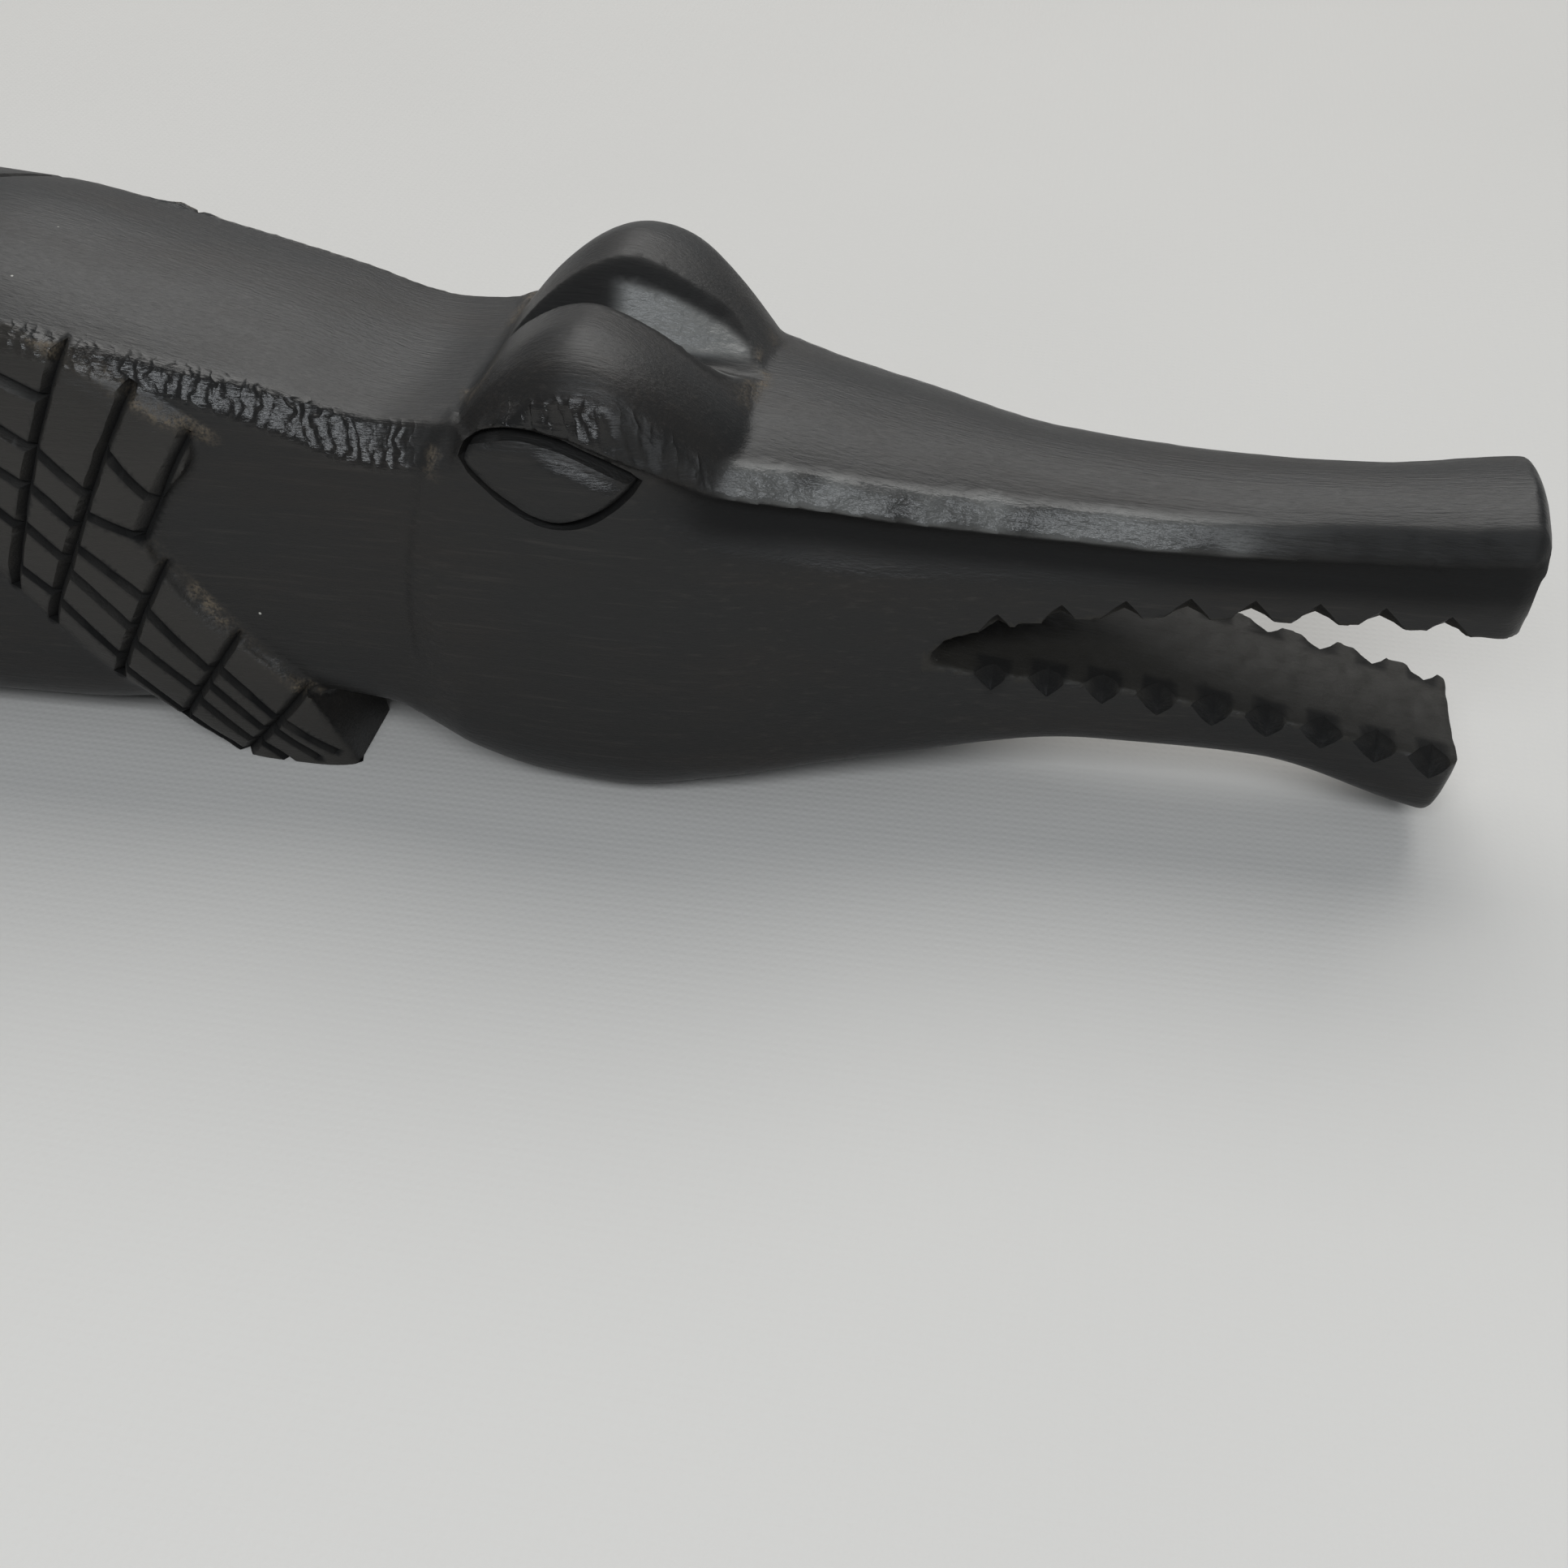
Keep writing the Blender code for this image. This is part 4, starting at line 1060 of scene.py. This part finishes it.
def blackWood():
    material = bpy.data.materials.new("blackWood")
    make = nodeMaker(material)
    place = make("ShaderNodeTexCoord").outputs["Object"]
    gloss, dust, cut, mouth, limb, stroke, chips, paintedHighlight = [maskNode(make, name) for name in (
        "gloss", "dust", "cut", "mouth", "limb", "stroke", "chips", "paintedHighlight")]

    broad = noiseNode(make, place, wood["broadScale"], 3.0)
    streak = noiseNode(make, place, wood["streakScale"], 4.0, 0.6)
    fine = noiseNode(make, place, wood["fineScale"], 3.0, 0.6)
    grit = noiseNode(make, place, wood["gritScale"], 2.0)

    brownness = times(make, rangeNode(make, broad, 0.42, 0.72, 0.0, 0.6),
                      rangeNode(make, streak, 0.35, 0.65, 0.4, 1.0))
    colour = mixColour(make, brownness, wood["black"], wood["brown"])
    colour = mixColour(make, times(make, limb, 0.7), colour, wood["limb"])
    pale = rangeNode(make, streak, 0.56, 0.76, 0.0, 0.6)
    colour = mixColour(make, pale, colour, wood["streak"])
    colour = mixColour(make, times(make, mouth, 0.85), colour, wood["mouthBrown"])
    # painted highlight: pale grey on the facet between the brows and on the snout's chips
    colour = mixColour(make, paintedHighlight, colour, wood["paintedHighlight"])
    # painted shade and painted dark reflection: near black in the cuts, the eye's groove, the
    # nicks, the hollow, the cove, the rim and the brow's front
    colour = mixColour(make, cut, colour, wood["paintedShadeBlack"])
    dusty = times(make, dust, rangeNode(make, grit, 0.38, 0.62, 0.1, 0.8))
    colour = mixColour(make, dusty, colour, wood["dust"])

    cells = make("ShaderNodeTexVoronoi")
    cells.inputs["Scale"].default_value = wood["speckScale"]
    feed(place, cells.inputs["Vector"])
    small = rangeNode(make, cells.outputs["Distance"], 0.02, 0.034, 1.0, 0.0)
    apart = make("ShaderNodeSeparateColor")
    feed(cells.outputs["Color"], apart.inputs["Color"])
    rare = rangeNode(make, apart.outputs[0], 0.86, 0.87, 0.0, 1.0)
    colour = mixColour(make, times(make, small, rare), colour, wood["speck"])

    roughness = rangeNode(make, broad, 0.3, 0.7, wood["roughness"] - 0.05,
                          wood["roughness"] + 0.05)
    roughness = plus(make, roughness, rangeNode(make, fine, 0.3, 0.7, -0.04, 0.05))
    for mask, name in ((gloss, "gloss"), (paintedHighlight, "paintedHighlight"), (mouth, "mouth"), (cut, "cut"),
                       (dusty, "dust")):
        roughness = blend(make, mask, roughness, wood[name + "Roughness"])

    grain = plus(make, times(make, streak, 0.7), times(make, fine, 0.5))
    crumbs = times(make, times(make, dust, grit), 1.6)
    grain = plus(make, grain, crumbs)
    normal = bumpNode(make, grain, wood["grainDepth"] * metre, wood["grain"], leanNormal(make))
    scoops = times(make, strokeHeight(make, place), stroke)
    normal = bumpNode(make, scoops, wood["strokeDepth"] * metre, 1.0, normal)
    flaky = mathNode(make, "MAXIMUM", chips, times(make, mouth, 0.5))
    flakes = times(make, chipHeight(make, place), flaky)
    normal = bumpNode(make, flakes, wood["chipDepth"] * metre, 1.0, normal)

    shader = make("ShaderNodeBsdfPrincipled")
    shader.inputs["Specular IOR Level"].default_value = wood["specular"]
    feed(colour, shader.inputs["Base Color"])
    feed(roughness, shader.inputs["Roughness"])
    feed(normal, shader.inputs["Normal"])
    output = make("ShaderNodeOutputMaterial")
    feed(shader.outputs["BSDF"], output.inputs["Surface"])
    return material


carved.data.materials.clear()
carved.data.materials.append(blackWood())
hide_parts("crocodile_carving")
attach(carved, "root")
print("wood finished")


# Cloth, light, camera

studio = {
    "clothSize": 3.0, "cloth": (0.66, 0.648, 0.625, 1), "threads": 2380,
    "waveUnit": 20.0,       # what the wave texture multiplies its scale by
    "clothShade": 0.95, "clothSink": 0.00005, "weaveDepth": 0.0001,
    "room": (0.90, 0.95, 1.0), "roomStrength": 0.19,
    # name, place, aim, size, power and colour
    "lights": [("keyLight", (0.16, -0.52, 0.52), (0.08, 0, 0.02), (0.60, 0.17), 2.7,
                (0.92, 0.96, 1.0)),
               ("backLight", (-0.05, 0.85, 0.75), (0.08, 0, 0.02), (1.6, 0.9), 1.7,
                (1.0, 0.99, 0.96)),
               ("ceilingLight", (0.10, 0.72, 1.2), (0.05, 0, 0), (1.2, 1.2), 12.3,
                (1.0, 0.99, 0.97))],
    "camera": (0.13377, -0.13480, 0.10818), "turn": (50.0, 0.0, 10.4), "lens": 42.857,
}


def paleCloth():
    material = bpy.data.materials.new("paleCloth")
    make = nodeMaker(material)
    place = make("ShaderNodeTexCoord").outputs["Object"]
    broad = noiseNode(make, place, (9, 9, 9), 2.0)
    slub = noiseNode(make, place, (300, 1800, 300), 3.0)
    darker = tuple(studio["clothShade"] * c for c in studio["cloth"][:3]) + (1,)
    uneven = rangeNode(make, broad, 0.3, 0.7, 0.0, 0.5)
    colour = mixColour(make, uneven, studio["cloth"], darker)
    waves = []
    for direction in ("X", "Y"):
        wave = make("ShaderNodeTexWave", bands_direction=direction)
        wave.inputs["Scale"].default_value = studio["threads"] / studio["waveUnit"] * math.pi
        wave.inputs["Distortion"].default_value = 0.6
        feed(place, wave.inputs["Vector"])
        waves.append(wave.outputs["Fac"])
    height = plus(make, times(make, *waves), slub)
    normal = bumpNode(make, height, studio["weaveDepth"], 0.2)
    shader = make("ShaderNodeBsdfPrincipled")
    shader.inputs["Roughness"].default_value = 0.92
    shader.inputs["Specular IOR Level"].default_value = 0.2
    feed(colour, shader.inputs["Base Color"])
    feed(normal, shader.inputs["Normal"])
    output = make("ShaderNodeOutputMaterial")
    feed(shader.outputs["BSDF"], output.inputs["Surface"])
    return material


half = 0.5 * studio["clothSize"]
mesh = bpy.data.meshes.new("cloth")
mesh.from_pydata([(-half, -half, 0), (half, -half, 0), (half, half, 0), (-half, half, 0)], [],
                 [(0, 1, 2, 3)])
cloth = addObject("cloth", mesh)
cloth.location.z = -studio["clothSink"]
mesh.materials.append(paleCloth())

world = bpy.data.worlds.new("room")
world.use_nodes = True
background = world.node_tree.nodes["Background"]
background.inputs["Color"].default_value = studio["room"] + (1,)
background.inputs["Strength"].default_value = studio["roomStrength"]
bpy.context.scene.world = world

for name, place, aim, size, power, colour in studio["lights"]:
    lamp = bpy.data.lights.new(name, "AREA")
    lamp.shape = "RECTANGLE"
    lamp.size, lamp.size_y = size
    lamp.energy = power
    lamp.color = colour
    light = addObject(name, lamp)
    light.location = place
    light.rotation_euler = (light.location - Vector(aim)).to_track_quat("Z", "Y").to_euler()
bpy.context.scene.view_settings.view_transform = "Standard"

lens = bpy.data.cameras.new("camera")
lens.lens = studio["lens"]
lens.sensor_width = 36.0
lens.clip_start = 0.01
camera = addObject("camera", lens)
camera.location = studio["camera"]
camera.rotation_euler = [math.radians(angle) for angle in studio["turn"]]
bpy.context.scene.camera = camera
print("studio ready")
